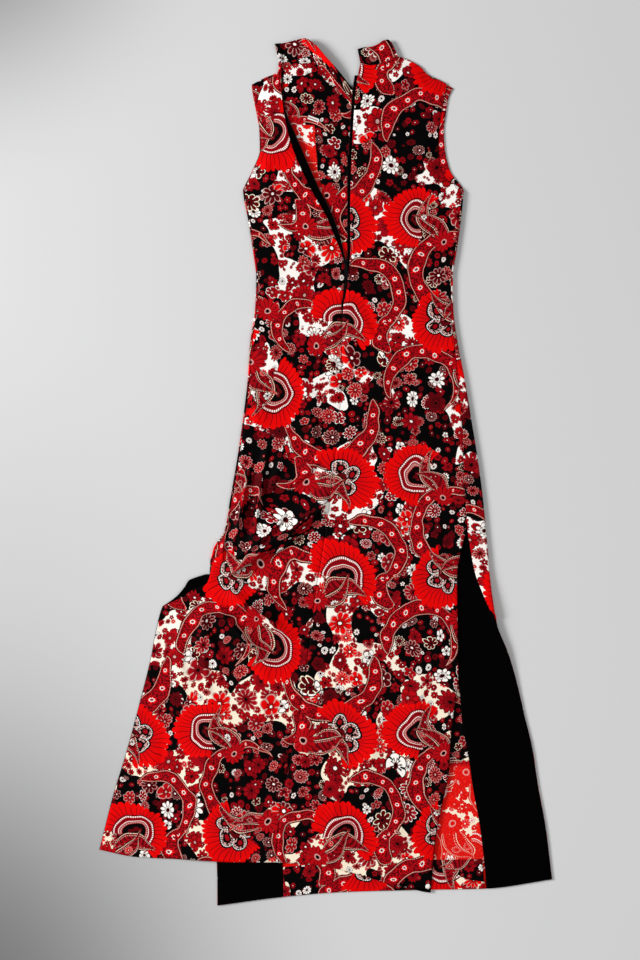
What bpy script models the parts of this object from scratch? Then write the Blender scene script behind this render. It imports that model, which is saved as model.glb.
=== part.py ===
"""A sleeveless, floor-length cheongsam laid face down on a flat surface, zip part open, side slits spread.

All sizes are in millimetres. "across" is measured to the right of the middle of the
garment's footprint and "down" from the highest point of the collar towards the hem, both
as seen from above with the neck at the top. The back faces up, so left is the wearer's left.
"""
import math
from collections import namedtuple

import bmesh
import bpy
import numpy as np
from mathutils import Matrix, Vector

MM = 0.001
LENGTH = 1490.0  # collar to the lowest hem corner
MIDDLE_DOWN = LENGTH / 2

WALL = 1.2  # cloth wall
GAP = 0.3  # between pieces that touch
LAYER = WALL + GAP
TAPE_WALL = 1.0
BACK_UNDER = 3 * LAYER  # underside of the back where front, facing and back facing lie below it
ROLL = (BACK_UNDER + WALL) / 2  # outer radius of the front where it turns up at the side folds
FRAY = 1.0  # width left to the turned strip where the edge lies flat

ARMHOLE_FOOT = 255.0
SLIT_TOP_LEFT = 905.0
SLIT_TOP_RIGHT = 838.0
ROLL_END_RIGHT = 1000.0
ZIP_STOP = 592.0  # lower end of the zip
ZIP_MEET = 394.0  # where the slider stands

# --- The stations across which every large piece has a row of points -----------------

Zone = namedtuple("Zone", "start end rows")
ZONES = (Zone(60, 280, 11), Zone(280, 820, 13), Zone(820, 1000, 11), Zone(1000, 1440, 9))
STATIONS = np.concatenate(
    [np.linspace(z.start, z.end, z.rows, endpoint=False) for z in ZONES] + [[ZONES[-1].end]]
)
NECK_FADE = 180.0  # rows are level below this distance from the first station
HEM_FADE = 340.0  # and above this distance from the last one

# --- Front: the lower layer, its outer face on the table ------------------------------

# left and right are the outline as seen from above, wrap is how far the front is
# carried over the right side fold before its seam or slit edge.
FrontRow = namedtuple("FrontRow", "down left right wrap")
FRONT = (
    FrontRow(84, -127.5, 219, 0),
    FrontRow(100, -125, 211, 0),
    FrontRow(130, -119, 206, 0),
    FrontRow(155, -115, 203, 0),
    FrontRow(189, -114, 205, 0),
    FrontRow(224, -126, 213, 0),
    FrontRow(262, -142, 236, 0),
    FrontRow(310, -134, 232, 0),
    FrontRow(361, -126, 225, 0),
    FrontRow(413, -120, 218, 0),
    FrontRow(464, -122, 219, 1),
    FrontRow(525, -131, 227, 3),
    FrontRow(576, -134, 237, 7),
    FrontRow(654, -143, 250, 14),
    FrontRow(722, -153, 261, 22),
    FrontRow(791, -165, 270, 28),
    FrontRow(843, -174, 275, 29),
    FrontRow(877, -194, 278, 27),
    FrontRow(917, -200, 281, 22),
    FrontRow(960, -200, 286, 11),
    FrontRow(1006, -199, 294, 0),
    FrontRow(1054, -198, 313, 0),
    FrontRow(1100, -197, 327, 0),
    FrontRow(1163, -195, 342, 0),
    FrontRow(1223, -194, 356, 0),
    FrontRow(1283, -192, 365, 0),
    FrontRow(1354, -190, 378, 0),
    FrontRow(1444, -187, 389, 0),
)

# Top and hem edges: share runs from the piece's left edge to its right edge.
EdgeRow = namedtuple("EdgeRow", "share down")
FRONT_TOP = (  # shoulder, neckline, shoulder
    EdgeRow(0.00, 77),
    EdgeRow(0.066, 65),
    EdgeRow(0.135, 54),
    EdgeRow(0.15, 38),
    EdgeRow(0.225, 31),
    EdgeRow(0.282, 28),
    EdgeRow(0.334, 43),
    EdgeRow(0.392, 65),
    EdgeRow(0.444, 89),
    EdgeRow(0.53, 114),
    EdgeRow(0.588, 114),
    EdgeRow(0.657, 87),
    EdgeRow(0.706, 52),
    EdgeRow(0.729, 30),
    EdgeRow(0.787, 37),
    EdgeRow(0.873, 60),
    EdgeRow(0.931, 70),
    EdgeRow(1.00, 84),
)
FRONT_HEM = (
    EdgeRow(0.00, 1489),
    EdgeRow(0.20, 1474),
    EdgeRow(0.37, 1466),
    EdgeRow(0.63, 1462),
    EdgeRow(0.80, 1460),
    EdgeRow(1.00, 1444),
)
FRONT_SHARES = sorted({row.share for row in FRONT_TOP} - {0.066} | {0.83})
HEM_TURN = 51.0  # depth of the hem allowance turned up inside

FacingRow = namedtuple("FacingRow", "down width")
FRONT_FACING = (
    FacingRow(820, 60),
    FacingRow(900, 95),
    FacingRow(1100, 100),
    FacingRow(1200, 112),
    FacingRow(1490, 113),
)

NECK_FACING_LEFT, NECK_FACING_RIGHT = -84.0, 76.0
NECK_FACING_FOOT = (
    EdgeRow(0.00, 146),
    EdgeRow(0.40, 147),
    EdgeRow(0.44, 224),
    EdgeRow(0.50, 262),
    EdgeRow(0.60, 322),
    EdgeRow(0.68, 360),
    EdgeRow(1.00, 368),
)

# --- Back: two halves above the front -------------------------------------------------

# zip_edge is the edge at the opening and, below the zip, at the centre seam. armhole
# and slit are the outer edge above and below the side seam, which follows the front.
HalfRow = namedtuple("HalfRow", "down across")
CENTRE = (
    HalfRow(394, 36),
    HalfRow(430, 33),
    HalfRow(464, 28),
    HalfRow(592, 27),
    HalfRow(705, 17),
    HalfRow(843, 0),
    HalfRow(963, -19),
    HalfRow(1058, -31),
    HalfRow(1146, -42),
    HalfRow(1195, -52),
    HalfRow(1250, -64),
    HalfRow(1314, -76),
    HalfRow(1376, -83),
    HalfRow(1440, -87),
)
LEFT_OPENING = (
    HalfRow(38, -77),
    HalfRow(79, -77),
    HalfRow(114, -74),
    HalfRow(144, -69),
    HalfRow(186, -58),
    HalfRow(218, -45),
    HalfRow(265, -22),
    HalfRow(303, 0),
    HalfRow(342, 16),
    HalfRow(366, 26),
    HalfRow(394, 34),
)
RIGHT_OPENING = (
    HalfRow(40, 59),
    HalfRow(79, 52),
    HalfRow(114, 49),
    HalfRow(203, 44),
    HalfRow(270, 42),
    HalfRow(366, 42),
    HalfRow(394, 39),
)
LEFT_ARMHOLE = (
    HalfRow(60, -107),
    HalfRow(74, -107),
    HalfRow(100, -116),
    HalfRow(117, -118.5),
    HalfRow(138, -115.5),
    HalfRow(163, -112.5),
    HalfRow(189, -112.5),
    HalfRow(224, -124.5),
    HalfRow(255, -138),
)
RIGHT_ARMHOLE = (
    HalfRow(60, 207),
    HalfRow(76, 207),
    HalfRow(112, 201),
    HalfRow(160, 194),
    HalfRow(189, 193.5),
    HalfRow(215, 196),
    HalfRow(237, 205),
    HalfRow(255, 229),
)
LEFT_SLIT = (
    HalfRow(905, -196),
    HalfRow(934, -204),
    HalfRow(946, -229),
    HalfRow(961, -252),
    HalfRow(975, -280),
    HalfRow(988, -285),
    HalfRow(1018, -292),
    HalfRow(1065, -301),
    HalfRow(1137, -319),
    HalfRow(1223, -342),
    HalfRow(1302, -366),
    HalfRow(1393, -389),
)
RIGHT_SLIT = (
    HalfRow(838, 242),
    HalfRow(870, 234),
    HalfRow(924, 225),
    HalfRow(1003, 226),
    HalfRow(1101, 227),
    HalfRow(1135, 222),
    HalfRow(1213, 213),
    HalfRow(1254, 211),
    HalfRow(1305, 201),
    HalfRow(1364, 189),
    HalfRow(1459, 179),
)
LEFT_TOP = (EdgeRow(0.0, 74), EdgeRow(0.4, 66), EdgeRow(0.8, 58), EdgeRow(0.86, 40), EdgeRow(1.0, 38))
RIGHT_TOP = (  # neck seam, then shoulder
    EdgeRow(0.00, 42),
    EdgeRow(0.135, 45),
    EdgeRow(0.28, 40),
    EdgeRow(0.44, 30),
    EdgeRow(0.58, 37),
    EdgeRow(0.70, 47),
    EdgeRow(0.785, 60),
    EdgeRow(0.92, 70),
    EdgeRow(1.00, 76),
)
LEFT_HEM = (EdgeRow(0.0, 1393), EdgeRow(0.2, 1405), EdgeRow(0.45, 1409), EdgeRow(0.8, 1414), EdgeRow(1.0, 1414))
RIGHT_HEM = (
    EdgeRow(0.0, 1414),
    EdgeRow(0.23, 1418),
    EdgeRow(0.40, 1426),
    EdgeRow(0.55, 1436),
    EdgeRow(0.72, 1450),
    EdgeRow(0.85, 1457),
    EdgeRow(1.0, 1460),
)
LEFT_SHARES = (0.0, 0.1, 0.2, 0.29, 0.38, 0.5, 0.62, 0.72, 0.8, 0.86, 0.93, 1.0)
RIGHT_SHARES = (0.0, 0.07, 0.135, 0.21, 0.28, 0.36, 0.44, 0.51, 0.58, 0.70, 0.785, 0.92, 1.0)
LEFT_NECK_SHARE = 0.8  # the shoulder seam ends at these shares
RIGHT_NECK_SHARE = 0.44
LEFT_FACING_SHARE = 0.38  # the slit facings end at these shares
RIGHT_FACING_SHARE = 0.58
LEFT_FACING_TURN = (  # outer edge of the left facing where it rolls out at the slit's top
    HalfRow(917, -201),
    HalfRow(930, -236),
    HalfRow(941, -243),
    HalfRow(958, -258),
    HalfRow(975, -282),
)
FACING_SHOW = 0.8  # how far a facing's edge stands out past its panel
FACING_DROP = 6.0  # how far the right facing hangs below the hem at its corner

# Largest folds of the back: ridges from one point to another.
Fold = namedtuple("Fold", "across_a down_a across_b down_b half_width height")
FOLDS = (
    Fold(7, 774, -185, 925, 15, 5.0),
    Fold(-96, 869, -170, 940, 13, 4.0),
    Fold(-45, 815, -172, 880, 11, 3.5),
    Fold(-140, 700, -170, 880, 11, 3.0),
    Fold(-62, 565, -18, 622, 10, 2.2),
    Fold(-30, 632, -14, 700, 9, 2.2),
    Fold(-118, 600, -104, 668, 10, 2.0),
    Fold(14, 440, 12, 600, 9, 2.2),
    Fold(44, 450, 42, 590, 10, 1.8),
    Fold(-190, 935, -70, 1010, 17, 4.0),
    Fold(-205, 965, -125, 1075, 18, 3.0),
)
EDGE_CALM = 24.0  # folds die out over this distance from a seam or an edge
FLAP_LIFT = 3.0  # the open left edge stands up by this much
FLAP_REACH = 18.0
OVERHANG_START, OVERHANG_END = 28.0, 80.0  # where the left skirt sinks to the table past the front

# --- Collar ---------------------------------------------------------------------------

BandRow = namedtuple("BandRow", "foot_across foot_down foot_up rim_across rim_down rim_up")
COLLAR_FRONT = (
    BandRow(-76, 40, 1.5, -87.5, 8, 1.5),
    BandRow(-62, 38, 1.5, -70, 6, 2.8),
    BandRow(-50, 34, 1.5, -51, 2, 7.0),
    BandRow(-30, 31, 1.5, -37, 0, 10.0),
    BandRow(-12, 46, 1.5, -22, 8, 12.0),
    BandRow(8, 68, 1.5, 0, 32, 12.0),
    BandRow(26, 92, 1.5, 24, 58, 8.0),
    BandRow(40, 106, 1.5, 43, 80, 1.6),
    BandRow(56, 117, 1.5, 62, 95, 1.5),
    BandRow(76, 117, 1.5, 78, 93, 1.5),
    BandRow(98, 92, 1.5, 90, 74, 1.5),
    BandRow(111, 66, 1.5, 98, 50, 1.5),
)
COLLAR_RIGHT = (
    BandRow(59, 41.1, 4.5, 54, 17, 4.5),
    BandRow(68, 43.0, 4.8, 65, 14.5, 5.6),
    BandRow(79, 44.0, 5.0, 77, 13.5, 6.4),
    BandRow(90, 41.9, 5.0, 90, 8.5, 6.8),
    BandRow(101, 39.0, 5.0, 98, 3, 6.4),
    BandRow(113, 34.0, 4.8, 106, 1, 5.4),
    BandRow(124, 29.0, 4.5, 112, 4, 4.5),
)
COLLAR_LEFT = (
    BandRow(-81, 37.6, 4.5, -88, 8, 4.5),
    BandRow(-79, 37.6, 4.5, -82.5, 7.5, 4.6),
    BandRow(-77, 37.6, 4.5, -77, 7, 4.6),
)

# --- Zip and label --------------------------------------------------------------------

LEFT_TEETH = (
    HalfRow(62, -75),
    HalfRow(86, -75),
    HalfRow(114, -72),
    HalfRow(138, -65),
    HalfRow(150, -59),
    HalfRow(175, -48),
    HalfRow(210, -33),
    HalfRow(255, -13),
    HalfRow(292, 6),
    HalfRow(337, 23),
    HalfRow(366, 30),
    HalfRow(394, 35.85),
)
TEETH_SHOW = 5.0  # right tape, visible beyond its edge
TAPE_INSET, TAPE_INSET_NECK = 10.0, 3.0  # width sewn under the back, less beside the shoulder
OPEN_SLACK = 5.5  # width between the two halves just below the slider
SLACK_RUN = 110.0  # distance below the slider over which they close
SLIDER_ACROSS, SLIDER_DOWN = 34.5, 384.0
SLIDER_WIDTH, SLIDER_LENGTH, PLATE = 7.0, 10.0, 1.0
POST = 1.6
ARCH_OUTER, ARCH_INNER, ARCH_WALL = 2.2, 1.3, 1.0
HINGE_UP = BACK_UNDER + WALL + GAP + PLATE + 1.1
PULL_BAR = 0.55  # half the width of the bar that turns in the arch
PULL_LENGTH, PULL_NECK, PULL_TIP, PULL_WALL = 25.0, 4.2, 6.4, 1.0
PULL_WINDOW = 3.4
PULL_REST = math.radians(3.4)  # the tab slopes down until its tip is on the cloth

LABEL_LENGTH, LABEL_WIDTH, LABEL_WALL = 20.0, 6.0, 1.0
LABEL_ACROSS, LABEL_DOWN, LABEL_TURN = -21.5, 137.0, -20.0

# --- Curves through the tables --------------------------------------------------------


def through(rows, column, at, key="down"):
    """A smooth curve through one column of a table that never swings past its rows."""
    x = np.array([getattr(row, key) for row in rows], float)
    y = np.array([getattr(row, column) for row in rows], float)
    run = np.diff(x)
    slope = np.diff(y) / run
    tangent = np.zeros(len(x))
    steady = slope[:-1] * slope[1:] > 0
    safe = np.where(steady, slope[:-1] * slope[1:], 1)
    total = np.where(steady, slope[:-1] + slope[1:], 1)
    tangent[1:-1] = np.where(steady, 2 * safe / total, 0)
    tangent[0], tangent[-1] = slope[0], slope[-1]
    at = np.clip(np.asarray(at, float), x[0], x[-1])
    i = np.clip(np.searchsorted(x, at) - 1, 0, len(run) - 1)
    t = (at - x[i]) / run[i]
    rise = (3 - 2 * t) * t * t
    return (
        y[i] * (1 - rise)
        + y[i + 1] * rise
        + run[i] * (tangent[i] * t * (1 - t) ** 2 - tangent[i + 1] * t * t * (1 - t))
    )


def ease(value):
    """0 below 0, 1 above 1, and a smooth S between."""
    t = np.clip(value, 0, 1)
    return t * t * (3 - 2 * t)


def rolled(down, end):
    """How far round the side fold the front's edge is turned: 0 flat, 1 a half turn."""
    return ease((down - ARMHOLE_FOOT + 5) / 20) * ease((end - down) / 20)


def level_rows(top, hem, shares):
    """The "down" of each grid point: level rows that bend to the top and hem edges at the ends."""
    station = STATIONS[:, None]
    shares = np.asarray(shares, float)[None, :]
    near_top = np.clip(1 - (station - STATIONS[0]) / NECK_FADE, 0, 1)
    near_hem = np.clip(1 - (STATIONS[-1] - station) / HEM_FADE, 0, 1)
    top_shift = through(top, "down", shares, "share") - STATIONS[0]
    hem_shift = through(hem, "down", shares, "share") - STATIONS[-1]
    return station + near_top * top_shift + near_hem * hem_shift


# --- Meshes ---------------------------------------------------------------------------


def material(name, colour, roughness, metallic=0.0):
    surface = bpy.data.materials.get(name) or bpy.data.materials.new(name)
    surface.use_nodes = True
    shader = surface.node_tree.nodes["Principled BSDF"]
    shader.inputs["Base Color"].default_value = (*colour, 1.0)
    shader.inputs["Roughness"].default_value = roughness
    shader.inputs["Metallic"].default_value = metallic
    return surface


def add_object(name, points, faces, surface):
    mesh = bpy.data.meshes.new(name)
    mesh.from_pydata(points, [], faces)
    mesh.materials.append(surface)
    mesh.update()
    mesh.shade_smooth()
    mesh.set_sharp_from_angle(angle=math.radians(50))
    thing = bpy.data.objects.new(name, mesh)
    bpy.context.scene.collection.objects.link(thing)
    return thing


def placed(across, down, up):
    """Millimetres across, down and up as points in metres."""
    across, down, up = np.broadcast_arrays(across, down, up)
    return np.stack([across, MIDDLE_DOWN - down, up], axis=-1) * MM


def sheet(name, under, over, surface):
    """A closed wall between two grids of points, rows running down and columns across."""
    rows, columns = under.shape[:2]
    count = rows * columns
    points = np.concatenate([under.reshape(-1, 3), over.reshape(-1, 3)])
    index = np.arange(count).reshape(rows, columns)
    a, b, c, d = index[:-1, :-1], index[1:, :-1], index[1:, 1:], index[:-1, 1:]
    halves = np.concatenate(
        [np.stack([a, b, c], -1).reshape(-1, 3), np.stack([a, c, d], -1).reshape(-1, 3)]
    )
    loop = np.concatenate([index[:-1, 0], index[-1, :-1], index[:0:-1, -1], index[0, :0:-1]])
    after = np.roll(loop, -1)
    rim = np.concatenate(
        [
            np.stack([after + count, loop + count, loop], -1),
            np.stack([after + count, loop, after], -1),
        ]
    )
    faces = np.concatenate([halves + count, halves[:, ::-1], rim])
    return add_object(name, points.tolist(), faces.tolist(), surface)


def flat_sheet(name, across, down, under, surface, wall=WALL):
    """A wall of even height above its underside, for a piece with no turned edge."""
    return sheet(name, placed(across, down, under), placed(across, down, under + wall), surface)


# --- Front ----------------------------------------------------------------------------


def turned(distance, offset):
    """Sideways and upward place of a point this far past the start of the side fold.

    The outer face runs round a circle of radius ROLL and then lies level above the
    fold; offset is the distance inward from the outer face.
    """
    half_turn = math.pi * ROLL
    angle = np.clip(distance, 0, half_turn) / ROLL
    radius = ROLL - offset
    sideways = radius * np.sin(angle) - np.clip(distance - half_turn, 0, None)
    return sideways, ROLL - radius * np.cos(angle)


def front_edges(down):
    """Where the flat part of the front ends on each side, and the strip turned past it."""
    left_turn = rolled(down, SLIT_TOP_LEFT)
    right_turn = rolled(down, ROLL_END_RIGHT)
    wrap = through(FRONT, "wrap", down)
    left_strip = FRAY + left_turn * (math.pi * ROLL - FRAY)
    right_strip = FRAY + right_turn * (math.pi * ROLL - FRAY) + wrap * right_turn
    left = through(FRONT, "left", down) + ROLL * left_turn + FRAY * (1 - left_turn)
    right = through(FRONT, "right", down) - ROLL * right_turn - FRAY * (1 - right_turn)
    return left, right, left_strip, right_strip


def front_panel(cloth):
    shares = np.array(FRONT_SHARES)
    down = level_rows(FRONT_TOP, FRONT_HEM, shares)
    left, right, _, _ = front_edges(down)
    across = left + (right - left) * shares
    flat = (across, down, np.zeros_like(down))
    side_down = {"left": down[:, :1], "right": down[:, -1:]}
    turn_left = np.linspace(1, 0, 5)[None, :-1]
    turn_right = np.concatenate([np.linspace(0, 0.45, 5)[1:], [0.7, 1.0]])[None, :]
    faces = []
    for offset in (0.0, WALL):
        left, _, left_strip, _ = front_edges(side_down["left"])
        out, up = turned(left_strip * turn_left, offset)
        left_part = (left - out, side_down["left"] + 0 * out, up)
        _, right, _, right_strip = front_edges(side_down["right"])
        arc = np.minimum(right_strip, math.pi * ROLL)
        distance = np.where(turn_right <= 0.45, arc * turn_right / 0.45, 0)
        beyond = arc + (right_strip - arc) * (turn_right - 0.45) / 0.55
        distance = np.where(turn_right <= 0.45, distance, beyond)
        distance = np.where(right_strip > arc + 1, distance, right_strip * turn_right)
        out, up = turned(distance, offset)
        right_part = (right + out, side_down["right"] + 0 * out, up)
        middle = (flat[0], flat[1], flat[2] + offset)
        faces.append([np.concatenate(parts, 1) for parts in zip(left_part, middle, right_part)])
    sheet("front_panel", placed(*faces[0]), placed(*faces[1]), cloth)


def front_hem(across):
    share = (np.asarray(across) - through(FRONT, "left", 1444)) / (
        through(FRONT, "right", 1444) - through(FRONT, "left", 1444)
    )
    return through(FRONT_HEM, "down", share, "share")


def front_facings(lining):
    start = {"left": SLIT_TOP_LEFT + 8, "right": SLIT_TOP_RIGHT - 14}
    for side, sign in (("left", 1), ("right", -1)):
        middle = STATIONS[(STATIONS > start[side] + 12) & (STATIONS < 1425)]
        down = np.concatenate([[start[side]], middle])[:, None]
        end = SLIT_TOP_LEFT if side == "left" else ROLL_END_RIGHT
        tuck = 0.6 + (ROLL + GAP) * rolled(down, end)
        outer = through(FRONT, side, down) + sign * tuck
        inner = outer + sign * through(FRONT_FACING, "width", down)
        ends = np.array([outer[-1, 0], inner[-1, 0]])
        hem_outer = through(FRONT, side, 1444) + sign * 0.6
        hem_ends = np.array([hem_outer, hem_outer + sign * FRONT_FACING[-1].width])
        share = np.array([0.0, 0.33, 0.67, 1.0])
        across = outer + (inner - outer) * share
        hem_across = hem_ends[0] + (hem_ends[1] - hem_ends[0]) * share
        across = np.vstack([across, hem_across])
        down = np.vstack([down + 0 * share, front_hem(hem_across) - 0.4])
        if sign < 0:
            across, down = across[:, ::-1], down[:, ::-1]
        flat_sheet("front_facing_" + side, across, down, LAYER, lining)


def front_hem_turn(cloth):
    left = through(FRONT, "left", 1444) + 0.6 + FRONT_FACING[-1].width + GAP
    right = through(FRONT, "right", 1444) - 0.6 - FRONT_FACING[-1].width - GAP
    lean = 4.0 / HEM_TURN  # the right facing's inner edge leans this much per millimetre of height
    share = np.linspace(0, 1, 12)[None, :]
    height = np.array([HEM_TURN, HEM_TURN / 2, 0.0])[:, None]
    across = left + (right - 2.5 - lean * height - left) * share
    flat_sheet("front_hem_turn", across, front_hem(across) - 0.4 - height, LAYER, cloth)


def front_neck_facing(cloth):
    share = np.array([0.0, 0.04, 0.1, 0.2, 0.3, 0.4, 0.44, 0.5, 0.6, 0.68, 0.78, 0.9, 1.0])[None, :]
    across = NECK_FACING_LEFT + (NECK_FACING_RIGHT - NECK_FACING_LEFT) * share
    front_share = (across - FRONT[0].left) / (FRONT[0].right - FRONT[0].left)
    top = through(FRONT_TOP, "down", front_share, "share") + 6.0
    under_shoulder = 1 - ease((across + 77) / 9)
    top = np.maximum(top, 46 + 40 * under_shoulder)
    foot = through(NECK_FACING_FOOT, "down", share, "share")
    fall = np.linspace(0, 1, 9)[:, None]
    flat_sheet("front_neck_facing", across + 0 * fall, top + (foot - top) * fall, LAYER, cloth)


# --- Back -----------------------------------------------------------------------------


def centre_seam(down):
    return through(CENTRE, "across", down)


def half_slack(down):
    """Half the width between the two halves below the slider, where the zip is closed."""
    return GAP / 2 + (OPEN_SLACK / 2 - GAP / 2) * (1 - ease((down - ZIP_MEET) / SLACK_RUN))


def opening_edge(side, down):
    table, sign = (LEFT_OPENING, -1) if side == "left" else (RIGHT_OPENING, 1)
    closed = centre_seam(down) + sign * half_slack(down)
    return np.where(down < ZIP_MEET, through(table, "across", down), closed)


def outer_edge(side, down):
    """Armhole, then the side seam beside the turned-up front, then the slit."""
    if side == "left":
        seam = through(FRONT, "left", down) + ROLL + GAP
        armhole, slit, slit_top = LEFT_ARMHOLE, LEFT_SLIT, SLIT_TOP_LEFT
    else:
        seam = through(FRONT, "right", down) - ROLL - GAP - through(FRONT, "wrap", down)
        armhole, slit, slit_top = RIGHT_ARMHOLE, RIGHT_SLIT, SLIT_TOP_RIGHT
    edge = np.where(down < slit_top, seam, through(slit, "across", down))
    start = ease((down - ARMHOLE_FOOT + 6) / 18)
    return through(armhole, "across", down) * (1 - start) + edge * start


def ridge(across, down, fold):
    """Height of one fold: a bell across it that fades towards both ends."""
    run = np.array([fold.across_b - fold.across_a, fold.down_b - fold.down_a], float)
    length = math.hypot(*run)
    run /= length
    along = (across - fold.across_a) * run[0] + (down - fold.down_a) * run[1]
    aside = -(across - fold.across_a) * run[1] + (down - fold.down_a) * run[0]
    t = along / length
    ends = ease(t / 0.3) * ease((1 - t) / 0.3)
    return fold.height * ends * np.exp(-((aside / fold.half_width) ** 2))


def back_under(side, across, down, top):
    """Height of the underside of the back above the table."""
    from_side = np.abs(across - outer_edge(side, down))
    from_opening = np.abs(across - opening_edge(side, down))
    folds = sum(ridge(across, down, fold) for fold in FOLDS)
    slit = down > (SLIT_TOP_LEFT if side == "left" else SLIT_TOP_RIGHT)
    calm = np.where(slit, 1, ease(from_side / EDGE_CALM))
    tab_calm = 1 - ease((440 - down) / 25) * ease(1.5 - from_opening / 20)
    up = BACK_UNDER + folds * calm * tab_calm
    if side == "left":
        reach = through(FRONT, "left", down) - OVERHANG_START - across
        sunk = ease(reach / (OVERHANG_END - OVERHANG_START)) * (down > SLIT_TOP_LEFT)
        up = up - (BACK_UNDER - LAYER) * sunk
        window = ease((down - 62) / 60) * ease((378 - down) / 50)
        up = up + FLAP_LIFT * window * np.exp(-from_opening / FLAP_REACH)
    low = BACK_UNDER - LAYER
    armhole = (1 - ease(from_side / EDGE_CALM)) * (1 - ease((down - ARMHOLE_FOOT + 16) / 16))
    shoulder = 1 - ease((down - top) / EDGE_CALM)
    return up - low * np.maximum(armhole, shoulder)


def back_grid(side):
    """Across, down and underside of one half of the back."""
    if side == "left":
        shares, top, hem, neck = np.array(LEFT_SHARES), LEFT_TOP, LEFT_HEM, LEFT_NECK_SHARE
        outer_share, on_shoulder = 1 - shares, shares < neck + 0.01
    else:
        shares, top, hem, neck = np.array(RIGHT_SHARES), RIGHT_TOP, RIGHT_HEM, RIGHT_NECK_SHARE
        outer_share, on_shoulder = shares, shares > neck - 0.01
    down = level_rows(top, hem, shares)
    outer, opening = outer_edge(side, down), opening_edge(side, down)
    across = opening + (outer - opening) * outer_share
    shoulder_down = np.where(on_shoulder, through(top, "down", shares, "share"), -200.0)
    return across, down, back_under(side, across, down, shoulder_down[None, :])


def back_halves(cloth, lining):
    for side in ("left", "right"):
        across, down, under = back_grid(side)
        flat_sheet("back_" + side, across, down, under, cloth)
        if side == "left":
            columns = np.array(LEFT_SHARES) <= LEFT_FACING_SHARE
            rows = STATIONS > LEFT_FACING_TURN[0].down
        else:
            columns = np.array(RIGHT_SHARES) >= RIGHT_FACING_SHARE
            rows = STATIONS > SLIT_TOP_RIGHT
        across, down, under = (part[rows][:, columns] for part in (across, down, under))
        if side == "left":
            show = across[:, :1] - FACING_SHOW
            turn = through(LEFT_FACING_TURN, "across", down[:, :1])
            turned_out = down[:, :1] < LEFT_FACING_TURN[-1].down
            show = np.where(turned_out, np.minimum(turn, show), show)
            drop = -0.8 + 0 * across[-1:]
        else:
            show = across[:, -1:] + FACING_SHOW
            corner = ease((across[-1:] - 130) / 45)
            drop = FACING_DROP * corner - 0.8 * (1 - corner)
        down = np.vstack([down[:-1], down[-1:] + drop])
        first = side == "left"
        across = np.hstack([show, across] if first else [across, show])
        down = np.hstack([down[:, :1], down] if first else [down, down[:, -1:]])
        under = np.hstack([under[:, :1], under] if first else [under, under[:, -1:]])
        flat_sheet("back_facing_" + side, across, down, under - LAYER, lining)


# --- Collar ---------------------------------------------------------------------------


def band(name, rows, surface, across_count, half=None):
    """A strip ruled from its foot to its rim through the table's sections.

    half names the half of the back whose top edge the foot is sewn to.
    """
    section = np.arange(len(rows), dtype=float)
    at = np.linspace(0, len(rows) - 1, across_count)
    Numbered = namedtuple("Numbered", "section value")
    edge = {}
    for column in BandRow._fields:
        table = [Numbered(i, getattr(row, column)) for i, row in zip(section, rows)]
        edge[column] = through(table, "value", at, "section")
    if half:
        back_across, back_down, _ = back_grid(half)
        order = np.argsort(back_across[0])
        seam = np.interp(edge["foot_across"], back_across[0][order], back_down[0][order])
        edge["foot_down"] = seam - GAP
    height = np.linspace(1, 0, 4)[:, None]
    across = edge["foot_across"] + (edge["rim_across"] - edge["foot_across"]) * height
    down = edge["foot_down"] + (edge["rim_down"] - edge["foot_down"]) * height
    under = edge["foot_up"] + (edge["rim_up"] - edge["foot_up"]) * height
    flat_sheet(name, across, down, under, surface)


# --- Zip ------------------------------------------------------------------------------


def zip_tapes(lining):
    rows = STATIONS[(STATIONS > 62) & (STATIONS < ZIP_STOP)]
    near_meet = [ZIP_MEET - 14, ZIP_MEET - 7, ZIP_MEET, ZIP_MEET + 12, ZIP_MEET + 50]
    down = np.unique(np.concatenate([[62], rows, near_meet, [ZIP_STOP]]))[:, None]
    for side, sign in (("left", -1), ("right", 1)):
        edge = opening_edge(side, down)
        if side == "left":
            loose = through(LEFT_TEETH, "across", down)
        else:
            loose = np.minimum(edge - TEETH_SHOW, 37.0 + 0 * edge)
            loose = np.where(down < 200, edge - TEETH_SHOW, loose)
            loose = loose + (centre_seam(ZIP_MEET) + GAP / 2 - loose) * ease((down - 366) / 28)
        teeth = np.where(down < ZIP_MEET, loose, centre_seam(down) + sign * GAP / 2)
        hidden = edge + sign * (TAPE_INSET_NECK + (TAPE_INSET - TAPE_INSET_NECK) * ease((down - 84) / 30))
        across = np.hstack([hidden, teeth] if side == "left" else [teeth, hidden])
        both = np.hstack([down, down])
        rest = back_under(side, across, both, -200.0)
        if side == "left":
            rest[:, 1] = np.minimum(rest[:, 1], rest[:, 0] + 0.8)
        under = rest - GAP - TAPE_WALL
        flat_sheet("zip_tape_" + side, across, both, under, lining, TAPE_WALL)


def slider_outline(middle):
    """A shield: wide where the open teeth enter, narrower where the closed teeth leave."""
    wide, narrow, half = SLIDER_WIDTH / 2, SLIDER_WIDTH * 0.36, SLIDER_LENGTH / 2
    return [
        (SLIDER_ACROSS - wide * 0.6, middle - half),
        (SLIDER_ACROSS + wide * 0.6, middle - half),
        (SLIDER_ACROSS + wide, middle - half * 0.6),
        (SLIDER_ACROSS + narrow, middle + half * 0.7),
        (SLIDER_ACROSS + narrow * 0.7, middle + half),
        (SLIDER_ACROSS - narrow * 0.7, middle + half),
        (SLIDER_ACROSS - narrow, middle + half * 0.7),
        (SLIDER_ACROSS - wide, middle - half * 0.6),
    ]


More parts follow.
